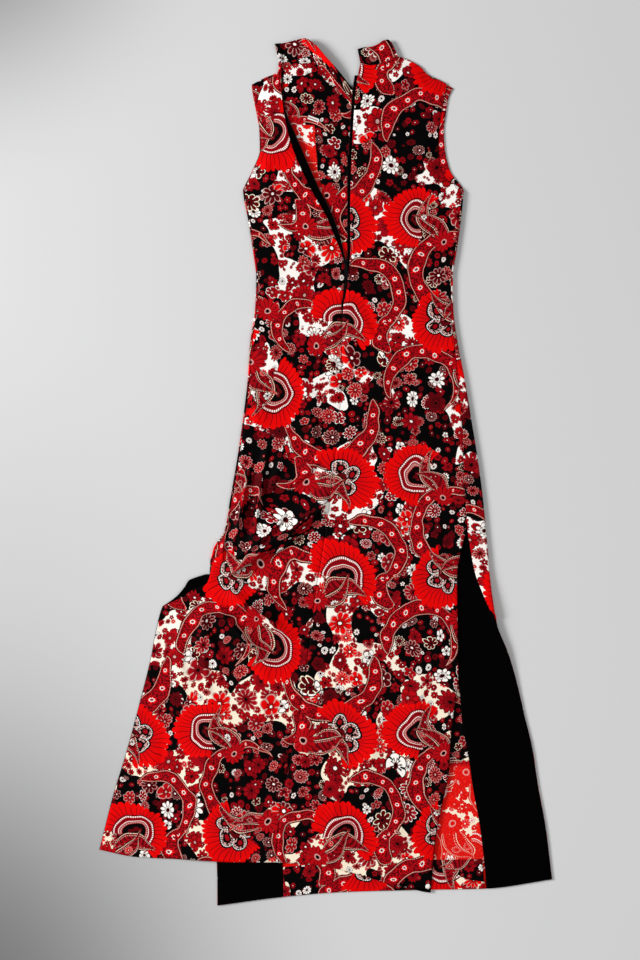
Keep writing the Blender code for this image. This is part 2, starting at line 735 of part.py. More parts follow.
def solid(name, outline, bottom, top, surface, holes=()):
    """A plate: an outline in the plane of across and down, raised from bottom to top."""
    mesh = bmesh.new()
    corners = [mesh.verts.new(placed(across, down, bottom)) for across, down in outline]
    face = mesh.faces.new(corners)
    face.normal_update()
    if face.normal.z > 0:
        face.normal_flip()
    extruded = bmesh.ops.extrude_face_region(mesh, geom=[face])["geom"]
    lifted = [part for part in extruded if isinstance(part, bmesh.types.BMVert)]
    bmesh.ops.translate(mesh, verts=lifted, vec=(0, 0, (top - bottom) * MM))
    bmesh.ops.recalc_face_normals(mesh, faces=mesh.faces)
    bmesh.ops.triangulate(mesh, faces=mesh.faces)
    data = bpy.data.meshes.new(name)
    mesh.to_mesh(data)
    mesh.free()
    data.materials.append(surface)
    thing = bpy.data.objects.new(name, data)
    bpy.context.scene.collection.objects.link(thing)
    for hole in holes:
        combine(thing, hole, "DIFFERENCE")
    return thing


def combine(thing, other, operation):
    """Adds or cuts another object by a Boolean, and hides that object."""
    step = thing.modifiers.new(operation.lower(), "BOOLEAN")
    step.operation = operation
    step.object = other
    other.hide_render = True
    other.display_type = "WIRE"


def rectangle(across, down, width, length):
    """Corners of a rectangle centred at a place."""
    return [
        (across + width / 2 * i, down + length / 2 * j) for i, j in ((-1, 1), (1, 1), (1, -1), (-1, -1))
    ]


def across_rod(name, across, down, up, radius, width, surface, sides=16):
    """A rod lying across, centred at a place."""
    turn = np.linspace(0, 2 * math.pi, sides, endpoint=False)
    ring = np.arange(sides)
    ends = [
        placed(across + width / 2 * end, down + radius * np.cos(turn), up + radius * np.sin(turn))
        for end in (-1, 1)
    ]
    after = np.roll(ring, -1)
    wall = np.stack([ring, ring + sides, after + sides, after], -1).tolist()
    faces = wall + [ring.tolist(), (ring[::-1] + sides).tolist()]
    return add_object(name, np.concatenate(ends).tolist(), faces, surface)


def zip_slider(enamel):
    tape_under = BACK_UNDER - GAP - TAPE_WALL
    lower = tape_under - GAP - PLATE
    upper = BACK_UNDER + WALL + GAP
    middle = SLIDER_DOWN
    slider = solid("zip_slider", slider_outline(middle), upper, upper + PLATE, enamel)
    below = solid("slider_lower_plate", slider_outline(middle), lower, lower + PLATE, enamel)
    post = solid(
        "slider_post",
        rectangle(SLIDER_ACROSS, middle - SLIDER_LENGTH / 2 + POST, POST, POST * 1.4),
        lower + PLATE / 2,
        upper + PLATE / 2,
        enamel,
    )
    arch = across_rod(
        "slider_arch", SLIDER_ACROSS, middle, HINGE_UP, ARCH_OUTER, ARCH_WALL, enamel
    )
    leg = solid(
        "slider_arch_legs",
        rectangle(SLIDER_ACROSS, middle, ARCH_WALL, 2 * ARCH_OUTER),
        upper + PLATE / 2,
        HINGE_UP,
        enamel,
    )
    for piece in (below, post, arch, leg):
        combine(slider, piece, "UNION")
    bore = across_rod(
        "slider_arch_hole", SLIDER_ACROSS, middle, HINGE_UP, ARCH_INNER, 3 * ARCH_WALL, enamel
    )
    combine(slider, bore, "DIFFERENCE")


def zip_pull_tab(enamel):
    """A tab hung on the slider's arch, lying on the cloth towards the hem."""
    neck, tip = PULL_NECK / 2, PULL_TIP / 2
    outline = [
        (-neck, -PULL_BAR),
        (-neck, PULL_LENGTH * 0.3),
        (-tip, PULL_LENGTH * 0.62),
        (-tip, PULL_LENGTH * 0.9),
        (-tip * 0.6, PULL_LENGTH),
        (tip * 0.6, PULL_LENGTH),
        (tip, PULL_LENGTH * 0.9),
        (tip, PULL_LENGTH * 0.62),
        (neck, PULL_LENGTH * 0.3),
        (neck, -PULL_BAR),
    ]
    window = rectangle(0, PULL_BAR + PULL_WINDOW / 2, ARCH_WALL + 1.0, PULL_WINDOW)
    tab = solid("zip_pull_tab", outline, -PULL_WALL / 2, PULL_WALL / 2, enamel)
    hole = solid("pull_window", window, -PULL_WALL, PULL_WALL, enamel)
    combine(tab, hole, "DIFFERENCE")
    hinge = bpy.data.objects.new("pull_hinge", None)
    bpy.context.scene.collection.objects.link(hinge)
    for piece in (tab, hole):
        piece.data.transform(Matrix.Translation((0, -MIDDLE_DOWN * MM, 0)))
        piece.parent = hinge
    hinge.location = placed(SLIDER_ACROSS, SLIDER_DOWN, HINGE_UP)
    hinge.rotation_euler.x = PULL_REST


def label_loop(ribbon):
    turn = math.radians(LABEL_TURN)
    corners = rectangle(0, 0, LABEL_LENGTH, LABEL_WIDTH)
    outline = [
        (
            LABEL_ACROSS + x * math.cos(turn) + y * math.sin(turn),
            LABEL_DOWN - x * math.sin(turn) + y * math.cos(turn),
        )
        for x, y in corners
    ]
    solid("label_loop", outline, 2 * LAYER, 2 * LAYER + LABEL_WALL, ribbon)


# --- The whole garment ----------------------------------------------------------------


def stand_on_origin():
    """Moves everything so that the middle of its footprint on the table is the origin."""
    bpy.context.view_layer.update()
    meshes = [thing for thing in bpy.data.objects if thing.type == "MESH" and not thing.hide_render]
    corners = np.array([thing.matrix_world @ v.co for thing in meshes for v in thing.data.vertices])
    low, high = corners.min(axis=0), corners.max(axis=0)
    shift = np.array([-(low[0] + high[0]) / 2, -(low[1] + high[1]) / 2, -low[2]])
    for thing in bpy.data.objects:
        if thing.parent is None:
            thing.location = thing.location + Vector(shift)


for thing in list(bpy.data.objects):
    bpy.data.objects.remove(thing)
printed = material("printed_satin", (0.62, 0.03, 0.035), 0.5)
black = material("black_lining", (0.018, 0.016, 0.02), 0.62)
enamel = material("black_enamel", (0.02, 0.02, 0.022), 0.3, 0.6)
white = material("white_ribbon", (0.85, 0.84, 0.82), 0.6)

front_panel(printed)
front_facings(black)
front_hem_turn(printed)
front_neck_facing(printed)
back_halves(printed, black)
band("collar_front", COLLAR_FRONT, printed, 33)
band("collar_right", COLLAR_RIGHT, printed, 19, "right")
band("collar_left", COLLAR_LEFT, printed, 5, "left")
zip_tapes(black)
zip_slider(enamel)
zip_pull_tab(enamel)
label_loop(white)
stand_on_origin()
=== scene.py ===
import math
from collections import namedtuple
from functools import reduce

import bmesh
import bpy
import numpy as np
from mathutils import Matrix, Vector


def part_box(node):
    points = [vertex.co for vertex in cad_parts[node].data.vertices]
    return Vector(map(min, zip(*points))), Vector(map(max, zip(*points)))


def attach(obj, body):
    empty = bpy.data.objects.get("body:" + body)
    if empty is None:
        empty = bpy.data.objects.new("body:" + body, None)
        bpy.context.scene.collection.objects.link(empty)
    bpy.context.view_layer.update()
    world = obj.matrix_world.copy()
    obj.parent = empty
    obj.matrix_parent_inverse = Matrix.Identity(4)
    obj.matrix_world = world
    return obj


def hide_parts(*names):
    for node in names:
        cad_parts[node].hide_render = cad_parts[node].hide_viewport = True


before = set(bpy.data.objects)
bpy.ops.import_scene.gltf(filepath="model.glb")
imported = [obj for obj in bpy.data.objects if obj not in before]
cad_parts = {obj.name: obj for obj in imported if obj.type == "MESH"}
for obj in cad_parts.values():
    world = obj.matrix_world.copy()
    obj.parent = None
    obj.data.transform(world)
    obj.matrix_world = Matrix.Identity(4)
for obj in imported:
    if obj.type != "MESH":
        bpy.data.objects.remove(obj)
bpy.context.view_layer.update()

# === The table, the light and the view ==================================================
# The dress lies on a pale grey board, seen from straight above. One broad soft light
# stands low on the left, and the rest of the room fills the shadows. Painted shade darkens
# the board towards the left and its two left corners, where the room's light falls off.

MM = 0.001
VIEW_CENTRE = (-0.0099, -0.0127)
VIEW_HEIGHT = 1.6512  # what the frame shows from top to bottom at the table
CAMERA_UP = 3.2
SENSOR_MM = 36.0
BOARD_HALF, BOARD_DOWN = 6.0, -0.0004
BOARD_GREY = (0.62, 0.62, 0.622)
ROOM_LIGHT = 0.385
RUN_ON = 6.0  # a shade reaches this many times as far away from the dress as towards it


class Field:
    """A number, vector or colour that changes over a surface. Sums of fields become nodes."""

    tree = None  # where the nodes go

    def __init__(self, socket):
        self.socket = socket

    def __abs__(self):
        return calc("ABSOLUTE", self)

    def __rsub__(self, other):
        return calc("SUBTRACT", other, self)


def node(kind, inputs=(), **settings):
    """A shader node with its settings made and its inputs joined or filled in."""
    made = Field.tree.nodes.new(kind)
    for name, value in settings.items():
        setattr(made, name, value)
    for key, value in dict(inputs).items():
        join(value, made.inputs[key])
    return made


def join(value, socket):
    if isinstance(value, Field):
        Field.tree.links.new(value.socket, socket)
    else:
        socket.default_value = value


def field(kind, inputs=(), out=0, **settings):
    return Field(node(kind, inputs, **settings).outputs[out])


def calc(operation, *values):
    return field("ShaderNodeMath", enumerate(values), operation=operation)


def vector(operation, *values, out=0):
    return field("ShaderNodeVectorMath", enumerate(values), out, operation=operation)


for method, operation in {
    "add": "ADD",
    "radd": "ADD",
    "sub": "SUBTRACT",
    "mul": "MULTIPLY",
    "rmul": "MULTIPLY",
    "truediv": "DIVIDE",
    "lt": "LESS_THAN",
    "gt": "GREATER_THAN",
}.items():
    setattr(Field, f"__{method}__", lambda a, b, operation=operation: calc(operation, a, b))


def over(mask, below, above, blend="MIX"):
    """One colour laid over another where the mask is 1."""
    layers = [(*value, 1.0) if isinstance(value, tuple) else value for value in (below, above)]
    inputs = {0: mask, 6: layers[0], 7: layers[1]}
    return field("ShaderNodeMix", inputs, 2, data_type="RGBA", blend_type=blend)


def eased(value, low, high, start=0.0, kind="SMOOTHSTEP"):
    """From start at low or below to 1 at high or above."""
    inputs = {0: value, 1: low, 2: high, 3: start}
    return field("ShaderNodeMapRange", inputs, interpolation_type=kind)


def finish(name, roughness, specular, colour=None):
    """A new material for fields to be written into, and its shader."""
    made = bpy.data.materials.new(name)
    made.use_nodes = True
    Field.tree = made.node_tree
    shader = made.node_tree.nodes["Principled BSDF"].inputs
    shader["Roughness"].default_value = roughness
    shader["Specular IOR Level"].default_value = specular
    if colour:
        shader["Base Color"].default_value = (*colour, 1.0)
    return made, shader


def new_object(name, data):
    thing = bpy.data.objects.new(name, data)
    bpy.context.scene.collection.objects.link(thing)
    return thing


def table(columns, *rows):
    """Rows of sizes under named columns."""
    Row = namedtuple("Row", columns)
    return [Row(*row) for row in rows]


# Painted shade on the board, where the room's light falls off: each darker part, and the
# senses in which it runs on away from the dress.
PAINTED_SHADES = table(
    "centre reach dark outwards",
    ((-0.693, -0.965, 0.0), 0.889, 0.238, (-1, -1, 0)),
    ((-0.714, 1.069, 0.0), 0.671, 0.228, (-1, 1, 0)),
    ((-0.685, -0.303, 0.0), 0.688, 0.858, (-1, 0, 0)),
)


def board():
    """A flat square a little below the dress. Painted shade darkens it towards the left and
    its two corners.

    A shade's share is a smooth step of the distance from its centre, where distance
    outwards, away from the dress, counts for 1 / RUN_ON.
    """
    square = ((-1, -1), (1, -1), (1, 1), (-1, 1))
    mesh = bpy.data.meshes.new("board")
    corners = [(x * BOARD_HALF, y * BOARD_HALF, BOARD_DOWN) for x, y in square]
    mesh.from_pydata(corners, [], [(0, 1, 2, 3)])
    paint, shader = finish("board_paint", 0.85, 0.1)
    place = field("ShaderNodeTexCoord", out="Object")
    colour = BOARD_GREY
    # Each painted shade multiplies the board's grey darker by its share.
    for shade in PAINTED_SHADES:
        senses = [sense or 1 for sense in shade.outwards]
        slower = [1 / RUN_ON if sense else 1 for sense in shade.outwards]
        outwards = vector("MULTIPLY", vector("SUBTRACT", place, shade.centre), senses)
        nearer = vector("MINIMUM", outwards, vector("MULTIPLY", outwards, slower))
        far = vector("LENGTH", nearer, out="Value")
        share = eased(far, 0.0, shade.reach, shade.dark, "SMOOTHERSTEP")
        colour = over(1.0, colour, share, "MULTIPLY")
    join(colour, shader["Base Color"])
    mesh.materials.append(paint)
    new_object("board", mesh)


def area_light(name, place, aim, size, power):
    lamp = bpy.data.lights.new(name, "AREA")
    lamp.shape, lamp.size, lamp.energy = "DISK", size, power
    thing = new_object(name, lamp)
    thing.location = place
    thing.rotation_euler = (Vector(aim) - Vector(place)).to_track_quat("-Z", "Y").to_euler()


def camera():
    lens = bpy.data.cameras.new("camera")
    lens.sensor_fit, lens.sensor_height = "VERTICAL", SENSOR_MM
    lens.lens = SENSOR_MM * CAMERA_UP / VIEW_HEIGHT
    lens.clip_end = 20.0
    bpy.context.scene.camera = new_object("camera", lens)
    bpy.context.scene.camera.location = (*VIEW_CENTRE, CAMERA_UP)


board()
camera()
area_light("key", (-5.1, 0.75, 2.7), (0.0, 0.0, 0.0), 2.2, 450.0)
area_light("fill", (1.7, -0.9, 2.4), (0.2, -0.3, 0.0), 1.8, 15.0)
room = bpy.data.worlds.new("room")
room.use_nodes = True
room.node_tree.nodes["Background"].inputs[0].default_value = (1.0, 1.0, 1.0, 1.0)
room.node_tree.nodes["Background"].inputs[1].default_value = ROOM_LIGHT
bpy.context.scene.world = room
bpy.context.scene.view_settings.view_transform = "Standard"

# === Front =============================================================================
# The lower layer: one panel from shoulder to hem with its right side on the board. Its
# side seams and slit edges roll up round the edges of the back. It is matt printed crepe.

LENGTH = 1490.0  # millimetres, collar to the lowest hem corner
MIDDLE_DOWN = LENGTH / 2
WALL, GAP = 1.2, 0.3  # the layers' spacing, as in the solids
LAYER = WALL + GAP
CLOTH = 0.7  # the cloth's own thickness
BACK_UNDER = 3 * LAYER
ROLL = (BACK_UNDER + WALL) / 2
FRAY = 1.0
ARMHOLE_FOOT = 255.0
SLIT_TOP_LEFT, SLIT_TOP_RIGHT = 905.0, 838.0
ROLL_END = {"left": SLIT_TOP_LEFT, "right": 1000.0}  # where the side folds end
SLIDER_ACROSS, SLIDER_DOWN = 34.5, 384.0
TOP_DOWN, HEM_DOWN = 60.0, 1440.0  # level rows between which the edges are bent
NECK_FADE, HEM_FADE = 180.0, 340.0
CORNER_DOWN = 1444.0  # the front's lower corners

slider_low, slider_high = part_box("zip_slider")
ORIGIN = (
    (slider_low.x + slider_high.x) / 2 - SLIDER_ACROSS * MM,
    (slider_low.y + slider_high.y) / 2 - (MIDDLE_DOWN - SLIDER_DOWN) * MM,
)

# left and right are the outline as seen from above, wrap is how far the front is
# carried over the right side fold before its seam or slit edge.
FRONT = table(
    "down left right wrap",
    (84, -127.5, 219, 0), (100, -125, 211, 0), (130, -119, 206, 0), (155, -115, 203, 0),
    (189, -114, 205, 0), (224, -126, 213, 0), (262, -142, 236, 0), (310, -134, 232, 0),
    (361, -126, 225, 0), (413, -120, 218, 0), (464, -122, 219, 1), (525, -131, 227, 3),
    (576, -134, 237, 7), (654, -143, 250, 14), (722, -153, 261, 22), (791, -165, 270, 28),
    (843, -174, 275, 29), (877, -194, 278, 27), (917, -200, 281, 22), (960, -200, 286, 11),
    (1006, -199, 294, 0), (1054, -198, 313, 0), (1100, -197, 327, 0), (1163, -195, 342, 0),
    (1223, -194, 356, 0), (1283, -192, 365, 0), (1354, -190, 378, 0), (1444, -187, 389, 0),
)
# Top and hem edges: share runs from the piece's left edge to its right edge.
FRONT_TOP = table(
    "share down",
    (0.0, 77), (0.066, 65), (0.135, 54), (0.15, 38), (0.225, 31), (0.282, 28), (0.334, 43),
    (0.392, 65), (0.444, 89), (0.53, 114), (0.588, 114), (0.657, 87), (0.706, 52), (0.729, 30),
    (0.787, 37), (0.873, 60), (0.931, 70), (1.0, 84),
)
FRONT_HEM = table(
    "share down",
    (0.0, 1489), (0.2, 1474), (0.37, 1466), (0.63, 1462), (0.8, 1460), (1.0, 1444),
)

def through(rows, column, at, key="down"):
    """A smooth curve through one column of a table that never swings past its rows.

    Between rows i and i+1, with t the share of the way and m the two slopes, it is
    y0(1-r) + y1 r + run (m0 t(1-t)^2 - m1 t^2(1-t)), where r = t^2 (3-2t). A slope is the
    harmonic mean of its two neighbours, or 0 at a turn.
    """
    x = np.array([getattr(row, key) for row in rows], float)
    y = np.array([getattr(row, column) for row in rows], float)
    run = np.diff(x)
    slope = np.diff(y) / run
    tangent = np.zeros(len(x))
    steady = slope[:-1] * slope[1:] > 0
    safe = np.where(steady, slope[:-1] * slope[1:], 1)
    total = np.where(steady, slope[:-1] + slope[1:], 1)
    tangent[1:-1] = np.where(steady, 2 * safe / total, 0)
    tangent[0], tangent[-1] = slope[0], slope[-1]
    at = np.clip(np.asarray(at, float), x[0], x[-1])
    i = np.clip(np.searchsorted(x, at) - 1, 0, len(run) - 1)
    t = (at - x[i]) / run[i]
    rise = (3 - 2 * t) * t * t
    bulge = tangent[i] * t * (1 - t) ** 2 - tangent[i + 1] * t * t * (1 - t)
    return y[i] * (1 - rise) + y[i + 1] * rise + run[i] * bulge


def ease(value):
    """0 below 0, 1 above 1, and between them t^2 (3 - 2t)."""
    t = np.clip(value, 0, 1)
    return t * t * (3 - 2 * t)


def bell(value):
    """1 at 0, falling as exp(-value^2)."""
    return np.exp(-(value**2))


def pressed(distance, depth, reach):
    """How far an edge is pressed down: depth exp(-distance / reach)."""
    return depth * np.exp(-distance / reach)


def rolled(side, down):
    """How far round the side fold the front's edge is turned: 0 flat, 1 a half turn."""
    return ease((down - ARMHOLE_FOOT + 5) / 20) * ease((ROLL_END[side] - down) / 20)


def spread(count, crowding=0.25):
    """Shares from 0 to 1, closer together at both ends: a line mixed with half a cosine."""
    t = np.linspace(0, 1, count)
    return (1 - crowding) * t + crowding * (0.5 - 0.5 * np.cos(math.pi * t))


def level_rows(count, top, hem, shares, low=TOP_DOWN, crowd=None):
    """The down of each grid point: level rows that bend to the top and hem edges at the ends.

    crowd names a stretch, from and to in down, in which the rows lie closer by its third value.
    """
    place = spread(count, 0.12)
    if crowd:
        fine = low + (HEM_DOWN - low) * np.linspace(0, 1, 2000)
        rate = 1 + (crowd[2] - 1) * ease((fine - crowd[0]) / 60) * ease((crowd[1] - fine) / 60)
        run = np.concatenate([[0], np.cumsum((rate[1:] + rate[:-1]) / 2)])
        place = np.interp(place, run / run[-1], np.linspace(0, 1, 2000))
    station = (low + (HEM_DOWN - low) * place)[:, None]
    near_top = np.clip(1 - (station - TOP_DOWN) / NECK_FADE, 0, 1)
    near_hem = np.clip(1 - (HEM_DOWN - station) / HEM_FADE, 0, 1)
    top_shift = through(top, "down", shares, "share")[None, :] - TOP_DOWN
    hem_shift = through(hem, "down", shares, "share")[None, :] - HEM_DOWN
    return station + near_top * top_shift + near_hem * hem_shift


def placed(across, down, up):
    """Millimetres across, down and up as points in metres in the frame."""
    across, down, up = np.broadcast_arrays(across, down, up)
    x = across * MM + ORIGIN[0]
    y = (MIDDLE_DOWN - down) * MM + ORIGIN[1]
    return np.stack([x, y, up * MM], axis=-1)


def grid_mesh(name, points, cloth, face_up=True):
    """Quads between the rows and columns of a grid of points.

    cloth holds each point's place on the flat cut cloth in millimetres. It is kept as
    the attribute "cloth", which the print and the weave follow.
    """
    rows, columns = points.shape[:2]
    index = np.arange(rows * columns).reshape(rows, columns)
    a, b, c, d = index[:-1, :-1], index[1:, :-1], index[1:, 1:], index[:-1, 1:]
    quads = np.stack([a, b, c, d] if face_up else [d, c, b, a], -1).reshape(-1, 4)
    mesh = bpy.data.meshes.new(name)
    mesh.vertices.add(rows * columns)
    mesh.vertices.foreach_set("co", points.astype(np.float32).ravel())
    mesh.loops.add(quads.size)
    mesh.loops.foreach_set("vertex_index", quads.astype(np.int32).ravel())
    mesh.polygons.add(len(quads))
    mesh.polygons.foreach_set("loop_start", np.arange(0, quads.size, 4, dtype=np.int32))
    mesh.update(calc_edges=True)
    mesh.validate()
    mesh.shade_smooth()
    flat = np.zeros((rows * columns, 3), np.float32)
    flat[:, :2] = np.stack(np.broadcast_arrays(*cloth, points[..., 0])[:2], -1).reshape(-1, 2)
    layer = mesh.attributes.new("cloth", "FLOAT_VECTOR", "POINT")
    layer.data.foreach_set("vector", flat.ravel())
    return new_object(name, mesh)


def piece(name, grid, cloth, slot, solid, *materials, wall=CLOTH, face_up=True):
    """A piece of cloth in place of a solid: a face with a wall grown behind it.

    grid is across, down and up in millimetres. The last material is the wall's back.
    """
    thing = grid_mesh(name, placed(*grid), cloth, face_up)
    for material in materials:
        thing.data.materials.append(material)
    shell = thing.modifiers.new("wall", "SOLIDIFY")
    shell.thickness, shell.offset = wall * MM, -1.0
    shell.use_even_offset = False
    shell.material_offset = len(materials) - 1
    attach(thing, "garment")
    if solid:
        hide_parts(solid)
    return thing


def run_length(across, up):
    """Distance along each row of a grid over its folds, measured from its first column."""
    steps = np.hypot(np.diff(across, axis=1), np.diff(up, axis=1))
    return np.concatenate([np.zeros((len(across), 1)), np.cumsum(steps, axis=1)], axis=1)


def undulation(across, down, seed):
    """Slow unevenness of cloth that has been worn and laid down: a few crossed sines."""
    draw = np.random.default_rng(seed)
    total = 0
    for _ in range(7):
        turn = draw.uniform(0, math.pi)
        wave = draw.uniform(38, 120)
        phase = draw.uniform(0, 2 * math.pi)
        along = across * math.cos(turn) + down * math.sin(turn) * 0.7
        total = total + np.sin(2 * math.pi * along / wave + phase) * wave / 120
    return total / 7


# --- The print ---
# The cloth is printed all over with half-round flowers, curling bands and small flowers,
# in a repeat of its own. Nothing in it depends on the dress but the place on the cut cloth.

RED = (0.71, 0.001, 0.001)  # the inks, and what they make side by side
CRIMSON = (0.41, 0.002, 0.005)
DARK_RED = (0.30, 0.002, 0.006)
MAROON = (0.10, 0.001, 0.003)
INK = (0.0008, 0.0006, 0.0007)
WHITE = (0.90, 0.84, 0.79)
CREAM = (0.90, 0.82, 0.60)
BEAD = (0.72, 0.54, 0.42)  # the dots along a band's rim
CREAM_GROUND = (0.90, 0.77, 0.59)
PALE = (0.55, 0.30, 0.27)  # fine pale lines, softened by the ink round them
INKS = dict(R=RED, C=CRIMSON, D=DARK_RED, M=MAROON, I=INK, W=WHITE, Y=CREAM, P=PALE)

TILE = (360.0, 440.0)  # the print's repeat in millimetres
FAN_HALF = 1.95  # half the angle that a large flower's petals fan over, in radians
FAN_PETALS = 36.0  # how many would go round a whole flower


def lowest(a, b):
    return calc("MINIMUM", a, b)


def highest(a, b):
    return calc("MAXIMUM", a, b)


def part(a):
    """What is left of a number past the whole number below it."""
    return calc("FRACT", a)


def swing(a):
    """How far a number is from the middle between two whole numbers: 0 there, 0.5 on them."""
    return abs(part(a) - 0.5)


def angle_of(x, y):
    return calc("ARCTAN2", y, x)


def size_of(place):
    return vector("LENGTH", place, out="Value")


def scaled(place, by):
    return field("ShaderNodeVectorMath", {0: place, 3: by}, operation="SCALE")


def apart(place):
    """The x, y and z of a vector."""
    made = node("ShaderNodeSeparateXYZ", {0: place})
    return [Field(socket) for socket in made.outputs]


def together(x, y, z=0.0):
    return field("ShaderNodeCombineXYZ", {0: x, 1: y, 2: z})


def either(mask, without, with_it):
    """One vector where the mask is 0 and the other where it is 1."""
    return field("ShaderNodeMix", {0: mask, 4: without, 5: with_it}, 1, data_type="VECTOR")


def painted(colour, *coats):
    """Coats laid one over another: each is a mask and a colour."""
    for mask, coat in coats:
        colour = over(mask, colour, coat)
    return colour


def pick(at, letters):
    """An ink chosen by a number from 0 to 1: one of these letters, each with an even share."""
    made = node("ShaderNodeValToRGB", {0: at})
    ramp = made.color_ramp
    ramp.interpolation = "CONSTANT"
    for index, letter in enumerate(letters):
        stop = ramp.elements.new(index / len(letters)) if index else ramp.elements[0]
        stop.color = (*INKS[letter], 1.0)
    ramp.elements.remove(ramp.elements[-1])
    return Field(made.outputs[0])


def wandering(place, size, detail=0.0, shift=0.0, out=0):
    """Smooth noise between 0 and 1 whose lumps are about this size in millimetres."""
    moved = vector("ADD", place, (shift, shift, 0))
    inputs = {"Vector": moved, "Scale": 1 / size, "Detail": detail}
    return field("ShaderNodeTexNoise", inputs, out, noise_dimensions="2D")


def node_group(name, inputs, outputs):
    """An empty group with named sockets, such as "Place:Vector"; fields are written into it."""
    Field.tree = bpy.data.node_groups.new(name, "ShaderNodeTree")
    for in_out, sockets in (("INPUT", inputs), ("OUTPUT", outputs)):
        for socket in sockets.split():
            label, kind = socket.split(":")
            kind = "NodeSocket" + kind
            Field.tree.interface.new_socket(label, in_out=in_out, socket_type=kind)
    entry = Field.tree.nodes.new("NodeGroupInput")
    return Field.tree, *(Field(socket) for socket in entry.outputs[:-1])


def close_group(*results):
    node("NodeGroupOutput", enumerate(results))


def use(tree, place, **values):
    """Places a group and gives its outputs."""
    made = node("ShaderNodeGroup", {"Place": place, **values}, node_tree=tree)
    return [Field(output) for output in made.outputs]


def nearest_of(candidates):
    """Of pairs of a distance and a vector, the vector with the least distance."""
    (least, best), *others = candidates
    for far, vector_there in others:
        best = either(far < least, best, vector_there)
        least = lowest(least, far)
    return best


def placed_motif(place, motif):
    """A point seen from the nearest repeat of a motif, turned to it."""
    half = (TILE[0] / 2, TILE[1] / 2, 1.0)
    offset = vector("SUBTRACT", place, (motif.x, motif.y, 0.0))
    nearest = vector("WRAP", offset, half, tuple(-h for h in half))
    inputs = {"Vector": nearest, "Angle": math.radians(motif.turn)}
    return field("ShaderNodeVectorRotate", inputs, rotation_type="Z_AXIS")


def flower_layer(name, cell, fill, density, shift, outlined):
    """Scattered small flowers: one to each cell of a Voronoi net, as large as there is room for.

    On white the flowers are brighter and have dark rims. On black some have fine pale rims.
    """
    sockets = "Place:Vector On_Black:Float"
    tree, place, on_black = node_group(name, sockets, "Color:Color Mask:Float")
    net = scaled(vector("SUBTRACT", place, (shift, -shift, 0.0)), 1 / cell)
    nearest, spheres = (
        node(
            "ShaderNodeTexVoronoi",
            {"Vector": net, "Scale": 1.0, "Randomness": 0.8},
            voronoi_dimensions="2D",
            feature=feature,
        )
        for feature in ("F1", "N_SPHERE_RADIUS")
    )
    room = Field(spheres.outputs["Radius"])
    chance, style, turn = apart(Field(nearest.outputs["Color"]))
    size = lowest(room * fill, 0.56) * (0.75 + 0.25 * turn) * (1.0 - 0.15 * on_black)
    offset = vector("SUBTRACT", net, Field(nearest.outputs["Position"]))
    x, y, _ = apart(offset)
    far = size_of(offset) / size
    petals = calc("FLOOR", chance * 37.0 - 8.0 * calc("FLOOR", chance * 37.0 / 8.0)) + 5.0
    angle = angle_of(x, y) / (2 * math.pi) * petals + turn * 5.0
    side = swing(angle) * 2.0
    notch = 0.16 + 0.3 * part(style * 13.0)
    edge = far / (1.0 - notch * side * side)
    fill_colour = over(on_black, pick(style, "CDCDRCDCWD"), pick(style, "DMDWMDDCMD"))
    pale_rim = pick(style, "PMPIPWMPYM") if outlined else MAROON
    rim = over(on_black, pick(style, "MPIMPMDMII"), pale_rim)
    heart = pick(style, "PIIIWPIPIW")
    stamen = swing(angle * 2.0) < 0.17
    colour = painted(
        fill_colour,
        ((side > 0.82) * (far > 0.42), rim),
        (edge > (0.91 if outlined else 0.86), rim),
        (stamen * (far > 0.2) * (far < 0.46 + 0.12 * chance), INK),
        ((far < 0.24) * (far > 0.14), MAROON),
        (far < 0.14, heart),
    )
    present = chance < 1.0 - (1.0 - density) * (0.25 + 0.75 * on_black)
    close_group(colour, (edge < 1.0) * present)
    return tree


def beads(along, pitch):
    """A row of dots: 1 on each bead."""
    return swing(along / pitch) < 0.32


def line(at, middle, half_width):
    return abs(at - middle) < half_width


def leaf(x, y, start, end, bend, width):
    """A curved drop from start to end, widest near its start.

    Gives how far along it a point lies, 0 to 1, how far out, 1 on its rim, and its length.
    """
    run = (end[0] - start[0], end[1] - start[1])
    length = math.hypot(*run)
    unit = (run[0] / length, run[1] / length)
    along = ((x - start[0]) * unit[0] + (y - start[1]) * unit[1]) / length
    aside = ((y - start[1]) * unit[0] - (x - start[0]) * unit[1]) / length
    room = highest(along * (1.0 - along), 0.0)
    rim = width / length * calc("SQRT", room) * (2.6 - 2.0 * along)
    past_ends = (room < 0.0005) * 9.0
    return along, abs(aside - room * bend) / highest(rim, 0.001) + past_ends, length


def leaf_colours(below, place, along, out, length, flowers):
    """A leaf over a colour: mottled dark red, beaded pale lines inside the rim, an ink rim."""
    inside = painted(
        over(part(place * 9.0) > 0.5, DARK_RED, MAROON),
        (flowers[1] * (out < 0.55), flowers[0]),
        (line(out, 0.62, 0.045) * beads(along * length, 0.05), PALE),
        (line(out, 0.84, 0.04) * beads(along * length, 0.035), CREAM),
        (out > 0.91, INK),
    )
    return over(out < 1.0, below, inside)


LEAVES = table(
    "start end bend width",
    ((-0.72, -0.22), (-0.10, 0.78), -1.0, 0.30),
    ((-0.95, -0.30), (0.12, 0.06), 0.8, 0.24),
)


def lobed_heart(x, y, far, angle):
    """A heart with five speckled lobes, each with a beaded ring: its mask and its colour."""
    lobe_angle = calc("WRAP", angle, -math.pi / 5, math.pi / 5)
    lobe_x = far * calc("COSINE", lobe_angle) - 0.31
    lobe_y = far * calc("SINE", lobe_angle)
    lobe = size_of(together(lobe_x, lobe_y))
    speckle = wandering(together(x, y), 0.05) > 0.5
    inside = painted(
        over((lobe < 0.175) * speckle, INK, PALE),
        (line(lobe, 0.185, 0.013) * beads(angle_of(lobe_x, lobe_y), 0.24), WHITE),
        (lobe < 0.105, INK),
        (lobe < 0.060, DARK_RED),
        (far < 0.17, INK),
    )
    return highest(far < 0.36, lobe < 0.235), inside


